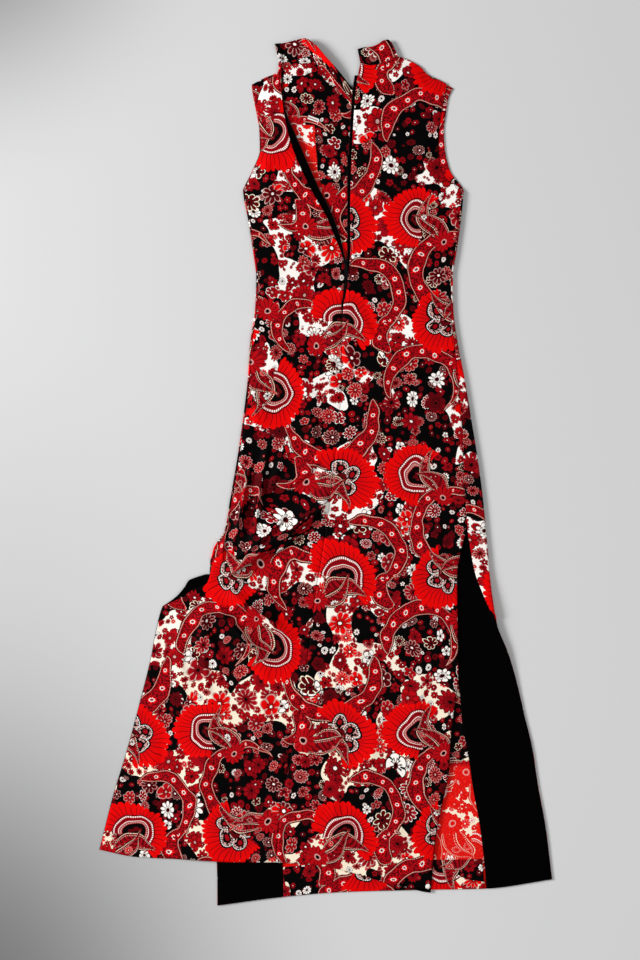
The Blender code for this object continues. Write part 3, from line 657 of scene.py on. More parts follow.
def round_heart(far, angle):
    """A round dark heart with three beaded rings and a fine white one: its mask and colour."""
    inside = painted(
        over(far > 0.28, INK, DARK_RED),
        (line(far, 0.315, 0.020) * beads(angle, 0.16), PALE),
        (line(far, 0.365, 0.008), WHITE),
        (line(far, 0.43, 0.02) * beads(angle, 0.09), MAROON),
        (line(far, 0.495, 0.020) * beads(angle, 0.10), WHITE),
        (far > 0.53, INK),
    )
    return far < 0.55, inside


def root_bloom(colour, x, y):
    """A small half flower where the leaves meet, laid over a colour, and its mask."""
    root_x, root_y = x + 0.86, y + 0.30
    near_root = size_of(together(root_x, root_y))
    fan = swing(angle_of(root_x, root_y) * 6.0 / math.pi)
    bloom = near_root / (0.31 - 0.14 * fan) < 1.0
    return bloom, painted(
        colour,
        (bloom, CRIMSON),
        (bloom * (fan > 0.4) * (near_root > 0.1), MAROON),
        ((near_root < 0.085) * (near_root > 0.055), PALE),
        (near_root < 0.05, INK),
    )


def sunburst(name, motifs, lobed):
    """Large flowers: petals round two thirds of a dark heart, the rest held by paisley leaves.

    The nearest flower's number goes with its place, as z.
    """
    tree, place = node_group(name, "Place:Vector", "Color:Color Mask:Float")
    spots = [scaled(placed_motif(place, motif), 1 / motif.size) for motif in motifs]
    numbers = [(0.0, 0.0, -float(number)) for number in range(len(motifs))]
    numbered = [vector("SUBTRACT", *pair) for pair in zip(spots, numbers)]
    x, y, number = apart(nearest_of(zip(map(size_of, spots), numbered)))
    far = size_of(together(x, y))
    angle = angle_of(x, y)
    turn = angle / (2 * math.pi) * FAN_PETALS + number * 0.37
    petal = calc("FLOOR", turn) + number * 50.0
    uneven = field("ShaderNodeTexWhiteNoise", {"W": petal}, noise_dimensions="1D")
    side = swing(turn) * 2.0
    swell = 0.85 + 0.07 * uneven + 0.08 * calc("SINE", angle * 2.0 + number * 2.0)
    tip = swell - 0.11 * (1.0 - calc("SQRT", 1.0 - side * side * 0.97))
    petals = (far < tip) * (abs(angle) < FAN_HALF)
    crease = ((1.0 - side) * far < 0.085) * (far < tip - 0.05)
    colour = over(crease, over(eased(far, 0.78, 0.45) * 0.35, RED, DARK_RED), MAROON)
    heart, inside = lobed_heart(x, y, far, angle) if lobed else round_heart(far, angle)
    inside = painted(
        inside,
        (far < 0.13 + 0.05 * abs(calc("SINE", angle * 3.0)), MAROON),
        (far < 0.07, INK),
        (far < 0.035, RED),
    )
    colour = over(heart, colour, inside)
    mask = highest(petals, heart * (abs(angle) < FAN_HALF + 0.2))
    flowers = use(flower_small, place)
    for shape in LEAVES:
        along, out, length = leaf(x, y, *shape)
        colour = leaf_colours(colour, far, along, out, length, flowers)
        mask = highest(mask, out < 1.0)
    bloom, colour = root_bloom(colour, x, y)
    close_group(colour, highest(mask, bloom))
    return tree


def paisley_bands(name, bands):
    """Long curling bands with beaded rims: arcs that swell at the head and taper to a point."""
    tree, place = node_group(name, "Place:Vector", "Color:Color Mask:Float Hollow:Float")
    candidates, hollows = [], []
    for band in bands:
        x, y, _ = apart(placed_motif(place, band))
        far = size_of(together(x, y))
        span = math.radians(band.span)
        turn = (angle_of(x, y) + math.pi) / span
        width = band.width * calc("SQRT", highest(turn * (1.0 - turn), 0.0)) * (2.6 - 1.7 * turn)
        across = far - band.radius * (1.0 - 0.22 * turn)
        spot = together(turn * band.radius * span, across, width)
        candidates.append((abs(across) / highest(width, 0.01), spot))
        hollows.append((far < band.radius * 0.8) * band.hollow)
    along, across, width = apart(nearest_of(candidates))
    rim = width - abs(across)
    grain = wandering(place, 3.0)
    spaced = calc("WRAP", along, -15.0, 15.0)
    petal = 1.0 - 0.35 * swing(angle_of(spaced, across) * 4.0 / math.pi) * 2.0
    spot_size = lowest(highest(width * 0.55, 0.5), 7.5) * petal
    spot = size_of(together(spaced, across)) / spot_size
    colour = painted(
        over(grain > 0.53, DARK_RED, MAROON),
        (grain < 0.42, CRIMSON),
        (spot < 1.0, RED),
        (spot < 0.6, WHITE),
        (spot < 0.36, INK),
        (spot < 0.15, RED),
        (line(rim, 4.4, 0.35) * (width > 11.0), MAROON),
        (line(rim, 2.2, 0.5) * beads(along, 2.6), BEAD),
        (rim < 1.6, DARK_RED),
        (rim < 1.0, INK),
    )
    close_group(colour, rim > 0.0, reduce(highest, hollows))
    return tree


BANDS = table(
    "x y turn radius span width hollow",
    (70, 62, 20, 66, 255, 15, 1.0), (262, 112, 200, 84, 230, 17, 0.0),
    (122, 300, 120, 74, 262, 15, 1.0), (330, 352, 300, 62, 255, 14, 1.0),
    (222, 402, 60, 50, 240, 12, 0.0), (196, 208, 250, 27, 200, 15, 0.0),
    (20, 410, 80, 30, 190, 16, 0.0),
)
ROUND_SUNS = table("x y turn size", (168, 70, -35, 67), (58, 215, 160, 63), (290, 392, 60, 65))
LOBED_SUNS = table("x y turn size", (286, 222, 25, 68), (104, 386, 215, 65))
flower_small = flower_layer("flowers_small", 13.5, 1.35, 0.72, 0.0, False)
flower_medium = flower_layer("flowers_medium", 27.0, 1.3, 0.86, 400.0, True)
flower_large = flower_layer("flowers_large", 46.0, 1.15, 0.6, 900.0, True)
bands_tree = paisley_bands("paisley_bands", BANDS)
round_tree = sunburst("sunburst_round", ROUND_SUNS, False)
lobed_tree = sunburst("sunburst_lobed", LOBED_SUNS, True)

sockets = "Place:Vector White_Ground:Float Cream:Float"
print_tree, place, white_ground, cream = node_group("garden_print", sockets, "Color:Color")
drift = wandering(place, 45.0, 1.0, out="Color")
shaken = vector("MULTIPLY_ADD", drift, (16.0, 16.0, 0.0), place)
band_colour, band_mask, hollow = use(bands_tree, shaken)
black = highest(wandering(shaken, 92.0, 1.0, 300.0) > white_ground, hollow)
colour = over(black, over(cream, WHITE, CREAM_GROUND), INK)
for layer in (flower_small, flower_medium, flower_large):
    bloom, bloom_mask = use(layer, shaken, On_Black=black)
    colour = over(bloom_mask, colour, bloom)
colour = over(band_mask, colour, band_colour)
for suns in (round_tree, lobed_tree):
    sun, sun_mask = use(suns, shaken)
    colour = over(sun_mask, colour, sun)
close_group(colour)

# The cloth's relief, in millimetres: crepe pebbles, plain-weave threads and slack puckers.
PEBBLE, THREAD, PUCKER = 0.9, 0.45, 14.0
PEBBLE_HIGH, THREAD_HIGH, PUCKER_HIGH = 0.06, 0.02, 0.34
weave_tree, place = node_group("crepe_surface", "Place:Vector", "Height:Float")
pebble = wandering(place, PEBBLE, 1.0)
pucker = wandering(place, PUCKER, 2.0, 50.0)
weft, warp = (calc("SINE", way * (2 * math.pi / THREAD)) for way in apart(place)[:2])
close_group(pebble * PEBBLE_HIGH + pucker * PUCKER_HIGH + weft * warp * THREAD_HIGH)

WRONG_SIDE_RED = (0.76, 0.006, 0.004)  # the darkest that the ink reads through the cloth
WRONG_SIDE_PALE = (0.90, 0.024, 0.012)  # where the ground shows between the threads
CREAM_START, CREAM_FULL = 850.0, 1200.0  # the white has yellowed towards the hem
BARE_OPENING, BARE_SLIT = 400.0, 1243.0  # between these the ink reads full strength
BARE_FADE = 10.0
FRONT_CUT = (270.0, -18.0)  # where it was cut on the printed length, in millimetres


def flat_cloth():
    """A point's place on the flat cut cloth."""
    return field("ShaderNodeAttribute", out="Vector", attribute_name="cloth")


def dress_cloth(shader, colour, height):
    join(colour, shader["Base Color"])
    relief = {"Height": height, "Strength": 1.0, "Distance": MM}
    join(field("ShaderNodeBump", relief), shader["Normal"])


def cloth_material(name, cut, white_ground=0.488, washed=False):
    """Printed crepe: the print on matt cloth. If washed, seen from behind: blacks read as red."""
    made, shader = finish(name, 0.65, 0.03)
    flat = flat_cloth()
    moved = vector("ADD", flat, (*cut, 0.0))
    down = apart(flat)[1]
    yellowed = eased(down, CREAM_START, CREAM_FULL)
    (ink,) = use(print_tree, moved, White_Ground=white_ground, Cream=yellowed)
    if washed:
        reddened = over(1.0, ink, WRONG_SIDE_RED, "LIGHTEN")
        brighter = over(1.0, ink, WRONG_SIDE_PALE, "LIGHTEN")
        mottle = eased(wandering(moved, 3.2, 2.0, 40.0), 0.5, 0.66)
        at_opening = eased(down, BARE_OPENING + BARE_FADE, BARE_OPENING)
        at_slit = eased(down, BARE_SLIT, BARE_SLIT + BARE_FADE)
        bare = highest(at_opening, at_slit) * 0.8
        ink = over(bare, ink, over(mottle, reddened, brighter))
    (height,) = use(weave_tree, flat)
    dress_cloth(shader, ink, height)
    return made


def turned(distance):
    """Sideways and upward place of a point this far past the start of the side fold.

    The outer face runs round a circle of radius ROLL, then lies level above the fold:
    ROLL sin(d/ROLL) sideways and ROLL - ROLL cos(d/ROLL) up, up to half a turn, and past
    it back by what is left of the distance.
    """
    half_turn = math.pi * ROLL
    angle = np.clip(distance, 0, half_turn) / ROLL
    sideways = ROLL * np.sin(angle) - np.clip(distance - half_turn, 0, None)
    return sideways, ROLL - ROLL * np.cos(angle)


INWARD = {"left": 1, "right": -1}
RIGHT_LIFT = 6.0  # the right edge stands off the board where the side fold ends
LIFT_MIDDLE, LIFT_LENGTH, LIFT_REACH = 1005.0, 75.0, 26.0
TURN_COLUMNS = 12  # columns round the left fold; the right one has twice as many
STILL_COLUMN = 40  # the column from which the flat cloth is measured


def front_edge(side, down):
    """Where the flat part of the front ends, and how much of the front is turned past it."""
    turn, inward = rolled(side, down), INWARD[side]
    strip = FRAY + turn * (math.pi * ROLL - FRAY)
    if side == "right":
        strip = strip + through(FRONT, "wrap", down) * turn
    edge = through(FRONT, side, down) + inward * ROLL * turn + inward * FRAY * (1 - turn)
    return edge, strip


def right_lift(across, down):
    """RIGHT_LIFT exp(-(down from its middle / length)^2 - (distance from edge / reach)^2)."""
    beside = (through(FRONT, "right", down) - across) / LIFT_REACH
    return RIGHT_LIFT * np.exp(-(((down - LIFT_MIDDLE) / LIFT_LENGTH) ** 2) - beside**2)


def front_panel():
    """The front's outer face: flat on the board, rolled up at both sides."""
    shares = spread(70, 0.1)
    down = level_rows(320, FRONT_TOP, FRONT_HEM, shares)
    left, right = (front_edge(side, down)[0] for side in ("left", "right"))
    middle = (left + (right - left) * shares, down, 0 * down)
    left, strip = front_edge("left", down[:, :1])
    out, up = turned(strip * np.linspace(1, 0, TURN_COLUMNS + 1)[None, :-1])
    left_part = (left - out, down[:, :1] + 0 * out, up)
    right, strip = front_edge("right", down[:, -1:])
    arc = np.minimum(strip, math.pi * ROLL)
    turn = np.linspace(0, 1, 2 * TURN_COLUMNS + 1)[None, 1:]
    past_arc = arc + (strip - arc) * (turn - 0.5) / 0.5
    distance = np.where(turn < 0.5, arc * turn / 0.5, past_arc)
    out, up = turned(np.where(strip > arc + 1, distance, strip * turn))
    right_part = (right + out, down[:, -1:] + 0 * out, up)
    across, down, up = (np.concatenate(parts, 1) for parts in zip(left_part, middle, right_part))
    up = up + right_lift(across, down)
    flat = run_length(across, up)
    still = slice(STILL_COLUMN, STILL_COLUMN + 1)
    flat = flat - flat[:, still] + across[:, still]
    own = ("printed_cloth", "front_panel", front_print, front_wrong_side)
    thing = piece("front_cloth", (across, down, up), (flat, down), *own, face_up=False)


front_print = cloth_material("front_print", FRONT_CUT)
front_wrong_side = cloth_material("front_wrong_side", FRONT_CUT, 0.70, washed=True)
front_panel()

# === Front hem allowance ===============================================================
# The hem is turned up 51 mm inside and caught down by hand, so its right side shows
# between the two facings.

HEM_TURN = 51.0
HEM_SHORT, HEM_LEAN = 2.5, 4.0  # its right end stops short, and leans in towards the top
EDGE_TUCK = 0.6  # a facing lies this far inside the slit edge
HEM_TUCK = 0.4  # and this far inside the hem
FRONT_FACING = table("down width", (820, 60), (900, 95), (1100, 100), (1200, 112), (1490, 113))


def front_hem(across):
    """The hem's down at a place across, read from its table by the share of the width."""
    left, right = through(FRONT, "left", CORNER_DOWN), through(FRONT, "right", CORNER_DOWN)
    return through(FRONT_HEM, "down", (np.asarray(across) - left) / (right - left), "share")


def front_hem_turn():
    """A strip that follows the hem; its upper edge waves a little where it is caught down."""
    facing = FRONT_FACING[-1].width
    left = through(FRONT, "left", CORNER_DOWN) + EDGE_TUCK + facing + GAP
    right = through(FRONT, "right", CORNER_DOWN) - EDGE_TUCK - facing - GAP
    share = spread(130, 0.1)[None, :]
    rise = spread(22, 0.5)[::-1][:, None]
    height = HEM_TURN * rise
    across = left + (right - HEM_SHORT - HEM_LEAN / HEM_TURN * height - left) * share
    down = front_hem(across) - HEM_TUCK - height
    down = down + 0.35 * rise * np.sin(across / 6.1) * np.sin(across / 17.0)
    up = LAYER + WALL - pressed(height, 0.5, 1.5) - pressed((1 - rise) * HEM_TURN, 0.45, 2.0)
    up = up + 0.35 * ease(rise * 2) * np.sin(across / 9.0 + 2 * np.sin(across / 31.0)) * 0.5
    grid, own = (across, down, up), ("printed_cloth", "front_hem_turn", front_print)
    thing = piece("front_hem_turn_cloth", grid, (across - 60, 1500 + height), *own)


front_hem_turn()

# === Front slit facings ================================================================
# A black strip is sewn along each slit edge and turned inside. It widens to 112 mm at
# the hem. Its inner edge is overlocked.


def black_material(name):
    """Plain black facing cloth: matt, with a fine twill line and a trace of sheen."""
    made, shader = finish(name, 0.8, 0.01)
    flat = flat_cloth()
    x, y, _ = apart(flat)
    twill = calc("SINE", (x + y) * (2 * math.pi / 0.9)) * 0.03
    slack = wandering(flat, 22.0, 2.0) * 0.5
    fuzz = wandering(flat, 2.2, 2.0, 70.0)
    dye = over(fuzz, (0.0002, 0.0002, 0.0003), (0.0012, 0.0011, 0.0013))
    dress_cloth(shader, dye, twill + slack)
    return made


def mirrored(side, *grids):
    """On the right the columns are put in reverse, so that faces look the same way."""
    return [grid[:, ::-1] if side == "right" else grid for grid in grids]


def front_facing(side, top, seed):
    """A strip inside the slit edge: outer edge a turn's width in, inner edge by the table."""
    inward = INWARD[side]
    share = spread(40, 0.3)[None, :]
    down = (top + (HEM_DOWN - 12 - top) * spread(200, 0.1))[:, None]
    outer = through(FRONT, side, down) + inward * (EDGE_TUCK + (ROLL + GAP) * rolled(side, down))
    across = outer + inward * through(FRONT_FACING, "width", down) * share
    corner = through(FRONT, side, CORNER_DOWN)
    hem = corner + inward * (EDGE_TUCK + FRONT_FACING[-1].width * share)
    lower = np.linspace(0, 1, 25)[1:, None]
    foot_across, foot_down = across[-1:], down[-1:]
    across = np.vstack([across, foot_across + (hem - foot_across) * lower])
    low_rows = foot_down + (front_hem(hem) - HEM_TUCK - foot_down) * lower
    down = np.vstack([down + 0 * share, low_rows])
    from_outer = np.abs(across - across[:, :1])
    from_inner = np.abs(across[:, -1:] - across)
    up = LAYER + WALL - pressed(from_outer, 0.45, 1.4) - pressed(from_inner, 0.5, 1.6)
    up = up + 0.28 * undulation(across, down, seed) * ease(from_outer / 15)
    up = up + right_lift(across, down)
    grid = mirrored(side, across, down, up)
    name = "front_facing_" + side
    thing = piece(name + "_cloth", grid, grid[:2], "black_cloth", name, black_cloth)


black_cloth = black_material("black_facing")
front_facing("left", SLIT_TOP_LEFT + 8, 5)
front_facing("right", SLIT_TOP_RIGHT - 14, 6)

# === Neck and armhole facings ==========================================================
# Inside the neck, the armholes and the back of the opening the front is faced with the
# same print. The neck facing ends in a slanting edge above the wrong side of the front.

NECK_FACING_LEFT, NECK_FACING_RIGHT = -84.0, 76.0
NECK_FACING_FOOT = table(
    "share down",
    (0.0, 146), (0.4, 147), (0.44, 224), (0.5, 262), (0.6, 322), (0.68, 360), (1.0, 368),
)
FACING_WAVE = 1.5  # the slanting edge is cut and overlocked by hand, so it waves
FACING_UP = 1.45  # top of a facing that lies close on the front
FACING_CLOTH = 0.5
ARMHOLE_FACING, ARMHOLE_FACING_FOOT = 36.0, 268.0
FACING_CUT = (-210.0, 534.0)


def top_edge(across):
    """The front's top edge at a place across."""
    share = (across - FRONT[0].left) / (FRONT[0].right - FRONT[0].left)
    return through(FRONT_TOP, "down", share, "share")


def neck_facing():
    """Close on the front under the collar's foot, one layer up and a little slack below it."""
    share = spread(110, 0.1)[None, :]
    across = NECK_FACING_LEFT + (NECK_FACING_RIGHT - NECK_FACING_LEFT) * share
    top = top_edge(across) + 0.8
    foot = through(NECK_FACING_FOOT, "down", share, "share")
    fall = spread(130, 0.1)[:, None]
    down = top + (foot - top) * fall
    slant = bell((across + 16.0) / 11.0) * ease((down - 140) / 20) * ease((300 - down) / 40)
    across = across + FACING_WAVE * slant * np.sin(down / 6.5 + 1.7 * np.sin(down / 15.0))
    clear = ease((down - top - 7) / 9) * ease((across + 78) / 10) * (down > 0)
    up = FACING_UP + (LAYER + WALL - FACING_UP) * clear
    loose = ease(fall * 3 - 0.3) * ease((1 - fall) * 8 + 0.4) * clear
    wave = np.sin((across * 0.8 + down * 0.35) / 11.0) * np.sin(down / 37.0)
    up = up + loose * (0.55 + 0.5 * wave)
    up = up - pressed(foot - down, 0.3, 1.5) * clear
    grid, flat = (across, down, up), (across, down)
    own = ("printed_cloth", "front_neck_facing", facing_print)
    return piece("neck_facing_cloth", grid, flat, *own, wall=FACING_CLOTH)


def armhole_facing(side):
    """A strip along the armhole, from the shoulder seam to the top of the side seam."""
    inward = INWARD[side]
    share = spread(24, 0.2)[None, :]
    fall = spread(90, 0.1)[:, None]
    start = FRONT[0].down
    down = start + (ARMHOLE_FACING_FOOT - start) * fall
    outer = through(FRONT, side, down) + inward * (0.5 + (ROLL + GAP) * rolled(side, down))
    across = outer + inward * ARMHOLE_FACING * share
    down = down + (top_edge(across[:1]) + 0.6 - start) * (1 - fall) ** 3
    grid = mirrored(side, across, down, FACING_UP + 0 * down)
    flat, own = (grid[0] + 60, grid[1] + 20), ("printed_cloth", None, facing_print)
    thing = piece("armhole_facing_" + side + "_cloth", grid, flat, *own, wall=FACING_CLOTH)


facing_print = cloth_material("facing_print", FACING_CUT, 0.385)
neck_facing_cloth = neck_facing()
armhole_facing("left")
armhole_facing("right")

# === Back ==============================================================================
# The upper layer: two halves from neck to hem, joined by the centre seam below the zip.
# They lie slack on the front. The left slit pulls the skirt into long drag folds.

CENTRE = table(
    "down across",
    (394, 36), (430, 33), (464, 28), (592, 27), (705, 17), (843, 0), (963, -19), (1058, -31),
    (1146, -42), (1195, -52), (1250, -64), (1314, -76), (1376, -83), (1440, -87),
)
# The shoulder seam ends between the two neck shares of the width.
Half = namedtuple("Half", "outward seed neck slit_top opening armhole slit top hem")
HALVES = {
    "left": Half(
        outward=-1,
        seed=11,
        neck=(0.80, 0.86),
        slit_top=SLIT_TOP_LEFT,
        opening=table(
            "down across",
            (38, -77), (79, -77), (114, -74), (144, -69), (186, -58), (218, -45), (265, -22),
            (303, 0), (342, 16), (366, 26), (394, 34),
        ),
        armhole=table(
            "down across",
            (60, -107), (74, -107), (100, -116), (117, -118.5), (138, -115.5), (163, -112.5),
            (189, -112.5), (224, -124.5), (255, -138),
        ),
        slit=table(
            "down across",
            (905, -196), (934, -204), (946, -229), (961, -252), (975, -280), (988, -285),
            (1018, -292), (1065, -301), (1137, -319), (1223, -342), (1302, -366), (1393, -389),
        ),
        top=table("share down", (0.0, 74), (0.4, 66), (0.8, 58), (0.86, 40), (1.0, 38)),
        hem=table(
            "share down",
            (0.0, 1393), (0.2, 1405), (0.45, 1409), (0.8, 1414), (1.0, 1414),
        ),
    ),
    "right": Half(
        outward=1,
        seed=12,
        neck=(0.44, 0.36),
        slit_top=SLIT_TOP_RIGHT,
        opening=table(
            "down across",
            (40, 59), (79, 52), (114, 49), (203, 44), (270, 42), (366, 42), (394, 39),
        ),
        armhole=table(
            "down across",
            (60, 207), (76, 207), (112, 201), (160, 194), (189, 193.5), (215, 196), (237, 205),
            (255, 229),
        ),
        slit=table(
            "down across",
            (838, 242), (870, 234), (924, 225), (1003, 226), (1101, 227), (1135, 222),
            (1213, 213), (1254, 211), (1305, 201), (1364, 189), (1459, 179),
        ),
        top=table(
            "share down",
            (0.0, 42), (0.135, 45), (0.28, 40), (0.44, 30), (0.58, 37), (0.7, 47), (0.785, 60),
            (0.92, 70), (1.0, 76),
        ),
        hem=table(
            "share down",
            (0.0, 1414), (0.23, 1418), (0.4, 1426), (0.55, 1436), (0.72, 1450), (0.85, 1457),
            (1.0, 1460),
        ),
    ),
}
BACK_CUT = (252.0, -102.0)
ZIP_MEET, ZIP_STOP = 394.0, 592.0
OPEN_SLACK = 5.5  # width between the two halves just below the slider
SLACK_RUN = 110.0  # distance below the slider over which they close
SLACK_HOLD = 25.0  # of which they stay this far apart at first
EDGE_CALM = 24.0  # folds die out over this distance from a seam or an edge
FLAP_LIFT, FLAP_REACH = 3.0, 18.0  # the open left edge stands up
OVERHANG_START, OVERHANG_END = 28.0, 80.0  # where the left skirt sinks past the front
FOLD_FADE, CREASE_FADE = 0.3, 0.35  # the share of its length over which a fold's end dies out
TUCK, TUCK_FROM = 2.2, 3.5  # hidden cloth per height of a crease at least this high
TUCK_REACH = 60.0
FINER = (680, 1120, 2.2)  # the left half's rows lie closer round its drag folds

# Ridges from one point to another: half_width is where a bell falls to a third, bow moves
# the middle of the line aside, lean makes one flank steeper. FOLDS are also in the solids.
FOLDS = table(
    "across_a down_a across_b down_b half_width height bow lean",
    (7, 774, -185, 925, 15, 5.0, 0, 0), (-96, 869, -170, 940, 13, 4.0, 0, 0),
    (-45, 815, -172, 880, 11, 3.5, 0, 0), (-140, 700, -170, 880, 11, 3.0, 0, 0),
    (-62, 565, -18, 622, 10, 2.2, 0, 0), (-30, 632, -14, 700, 9, 2.2, 0, 0),
    (-118, 600, -104, 668, 10, 2.0, 0, 0), (14, 440, 12, 600, 9, 2.2, 0, 0),
    (44, 450, 42, 590, 10, 1.8, 0, 0), (-190, 935, -70, 1010, 17, 4.0, 0, 0),
    (-205, 965, -125, 1075, 18, 3.0, 0, 0),
)
CREASES = table(
    "across_a down_a across_b down_b half_width height bow lean",
    (38, 758, -120, 888, 8, 8.3, -10, 0.7), (12, 798, -128, 904, 5, 4.7, -8, 0.5),
    (-96, 684, -112, 846, 5, 7.1, 6, 0.62), (-112, 738, -130, 884, 4, 4.2, -3, 0.38),
    (-124, 706, -152, 892, 5, 7.6, 6, -0.62), (-141, 770, -168, 904, 4, 4.7, -3, 0.38),
    (-146, 730, -181, 918, 5, 7.3, 5, 0.62), (-170, 780, -198, 902, 4, 5.7, 4, -0.38),
    (-182, 722, -194, 852, 5, 3.8, 2, 0.38), (-56, 804, -176, 906, 5, 6.8, -7, 0.62),
    (-76, 848, -186, 932, 5, 6.6, -6, 0.62), (-14, 802, -96, 862, 6, 4.2, -4, 0.38),
    (-2, 714, -86, 780, 8, 4.0, -6, 0.5), (-60, 700, -100, 800, 7, 3.1, 5, 0.38),
    (-190, 924, -28, 1044, 8, 6.8, 9, -0.62), (-205, 944, -90, 1080, 7, 5.9, 8, -0.5),
    (-222, 958, -156, 1110, 8, 4.7, 7, 0.38), (-180, 914, -44, 970, 6, 5.2, 6, 0.5),
    (-196, 936, -60, 1010, 5, 3.3, 6, 0.38), (-214, 966, -194, 1150, 8, 3.3, 6, 0.38),
    (-255, 985, -238, 1156, 11, 3.1, 4, 0.25), (-60, 636, -6, 702, 8, 2.4, 4, 0.3),
    (-27, 626, -17, 708, 5, 2.6, 1, 0.3), (-128, 590, -112, 668, 6, 2.4, 3, 0.4),
    (-148, 640, -138, 744, 8, 2.0, 4, 0.3), (-104, 458, -34, 434, 9, 2.0, 4, 0.3),
    (-128, 520, -60, 552, 10, 1.7, -5, 0.2), (-96, 300, -32, 356, 9, 1.8, 5, 0.2),
    (-104, 196, -84, 300, 9, 1.5, 5, 0.2), (-128, 372, -58, 398, 11, 1.5, 4, 0.2),
    (56, 462, 102, 532, 10, 2.4, 6, 0.4), (64, 560, 120, 604, 9, 1.8, -5, 0.3),
    (118, 430, 200, 450, 10, 2.0, 5, 0.3), (128, 500, 206, 486, 12, 1.6, 4, 0.2),
    (112, 300, 184, 342, 11, 2.0, 6, 0.3), (92, 206, 158, 246, 12, 1.8, 5, 0.3),
    (76, 112, 104, 214, 11, 1.5, 5, 0.2), (84, 640, 186, 672, 13, 2.1, 6, 0.3),
    (56, 735, 196, 744, 14, 1.9, -8, 0.3), (142, 560, 196, 618, 10, 1.6, 4, 0.3),
    (30, 856, 176, 912, 15, 2.4, 8, 0.3), (186, 780, 204, 900, 11, 2.0, 4, 0.3),
    (4, 1030, 138, 996, 14, 1.9, 6, 0.2), (-72, 1140, -60, 1340, 13, 2.1, 5, 0.2),
    (-104, 1056, -128, 1262, 12, 1.8, -6, 0.3), (-176, 1118, -212, 1330, 16, 2.6, 8, 0.3),
    (-248, 1150, -270, 1352, 13, 1.8, 5, 0.2), (-284, 1180, -308, 1384, 14, 2.1, 6, 0.3),
    (-130, 1235, -142, 1406, 11, 1.9, 4, 0.3), (-20, 1100, -38, 1280, 12, 1.7, 5, 0.2),
    (94, 1140, 72, 1350, 15, 2.3, 7, 0.3), (168, 1080, 148, 1280, 13, 2.0, 5, 0.2),
    (44, 1010, 60, 1170, 13, 1.7, -6, 0.2), (14, 1226, 24, 1414, 12, 1.9, 5, 0.2),
    (132, 1290, 124, 1420, 10, 1.7, 3, 0.2),
)


def opening_edge(side, down):
    """The edge at the zip, and below the slider the two halves' edges close together."""
    half = HALVES[side]
    closing = ease((down - ZIP_MEET - SLACK_HOLD) / (SLACK_RUN - SLACK_HOLD))
    slack = GAP / 2 + (OPEN_SLACK / 2 - GAP / 2) * (1 - closing)
    closed = through(CENTRE, "across", down) + half.outward * slack
    return np.where(down < ZIP_MEET, through(half.opening, "across", down), closed)


def outer_edge(side, down):
    """Armhole, then the side seam beside the turned-up front, then the slit."""
    half = HALVES[side]
    seam = through(FRONT, side, down) - half.outward * ROLL - half.outward * GAP
    if side == "right":
        seam = seam - through(FRONT, "wrap", down)
    edge = np.where(down < half.slit_top, seam, through(half.slit, "across", down))
    start = ease((down - ARMHOLE_FOOT + 6) / 18)
    return through(half.armhole, "across", down) * (1 - start) + edge * start


def crease_frame(across, down, fold, fade=CREASE_FADE):
    """Where a point lies by a fold's line, which bows by bow 4t(1-t).

    Gives the distance aside from it, the fold's strength along it, and its direction.
    """
    run = np.array([fold.across_b - fold.across_a, fold.down_b - fold.down_a], float)
    length = math.hypot(*run)
    run /= length
    t = ((across - fold.across_a) * run[0] + (down - fold.down_a) * run[1]) / length
    aside = -(across - fold.across_a) * run[1] + (down - fold.down_a) * run[0]
    return aside - fold.bow * 4 * t * (1 - t), ease(t / fade) * ease((1 - t) / fade), run


def ridges(across, down, folds, fade):
    """Ridges height exp(-(aside/width)^2), (1 + lean) times as wide on one side."""
    total = 0
    for fold in folds:
        aside, ends, _ = crease_frame(across, down, fold, fade)
        width = fold.half_width * (1 + fold.lean * np.tanh(aside / 2.0))
        total = total + fold.height * ends * bell(aside / width)
    return total


def back_under(side, across, down, shoulder):
    """Height of the underside of the back above the board, with its largest folds."""
    from_side = np.abs(across - outer_edge(side, down))
    from_opening = np.abs(across - opening_edge(side, down))
    calm = np.where(down > HALVES[side].slit_top, 1, ease(from_side / EDGE_CALM))
    tab_calm = 1 - ease((440 - down) / 25) * ease(1.5 - from_opening / 20)
    up = BACK_UNDER + ridges(across, down, FOLDS, FOLD_FADE) * calm * tab_calm
    if side == "left":
        reach = through(FRONT, "left", down) - OVERHANG_START - across
        sunk = ease(reach / (OVERHANG_END - OVERHANG_START)) * (down > SLIT_TOP_LEFT)
        up = up - (BACK_UNDER - LAYER) * sunk
        window = ease((down - 62) / 60) * ease((378 - down) / 50)
        up = up + FLAP_LIFT * window * np.exp(-from_opening / FLAP_REACH)
    armhole = (1 - ease(from_side / EDGE_CALM)) * (1 - ease((down - ARMHOLE_FOOT + 16) / 16))
    return up - (BACK_UNDER - LAYER) * np.maximum(armhole, shoulder)


def slack_cloth(side, across, down):
    """What the large folds leave out: creases, slow unevenness, and edges pressed down."""
    from_side = np.abs(across - outer_edge(side, down))
    from_opening = np.abs(across - opening_edge(side, down))
    inner = ease(from_side / 12) * ease(from_opening / 14)
    small = ridges(across, down, CREASES, CREASE_FADE)
    slow = undulation(across, down, HALVES[side].seed) * 1.1
    pucker = 0.22 * np.sin(down / 3.1 + 2.2 * np.sin(down / 17.0))
    seam = pucker * ease((down - ZIP_STOP) / 30) * np.exp(-from_opening / 9)
    flattened = 0.75 * bell(from_opening / 2.6) + 0.55 * bell(from_side / 2.2)
    return (small + slow) * inner + seam - flattened


def half_across(side, down, shares):
    """Place across at a share of the way from a half's left edge to its right edge."""
    outer, opening = outer_edge(side, down), opening_edge(side, down)
    return opening + (outer - opening) * (1 - shares if side == "left" else shares)


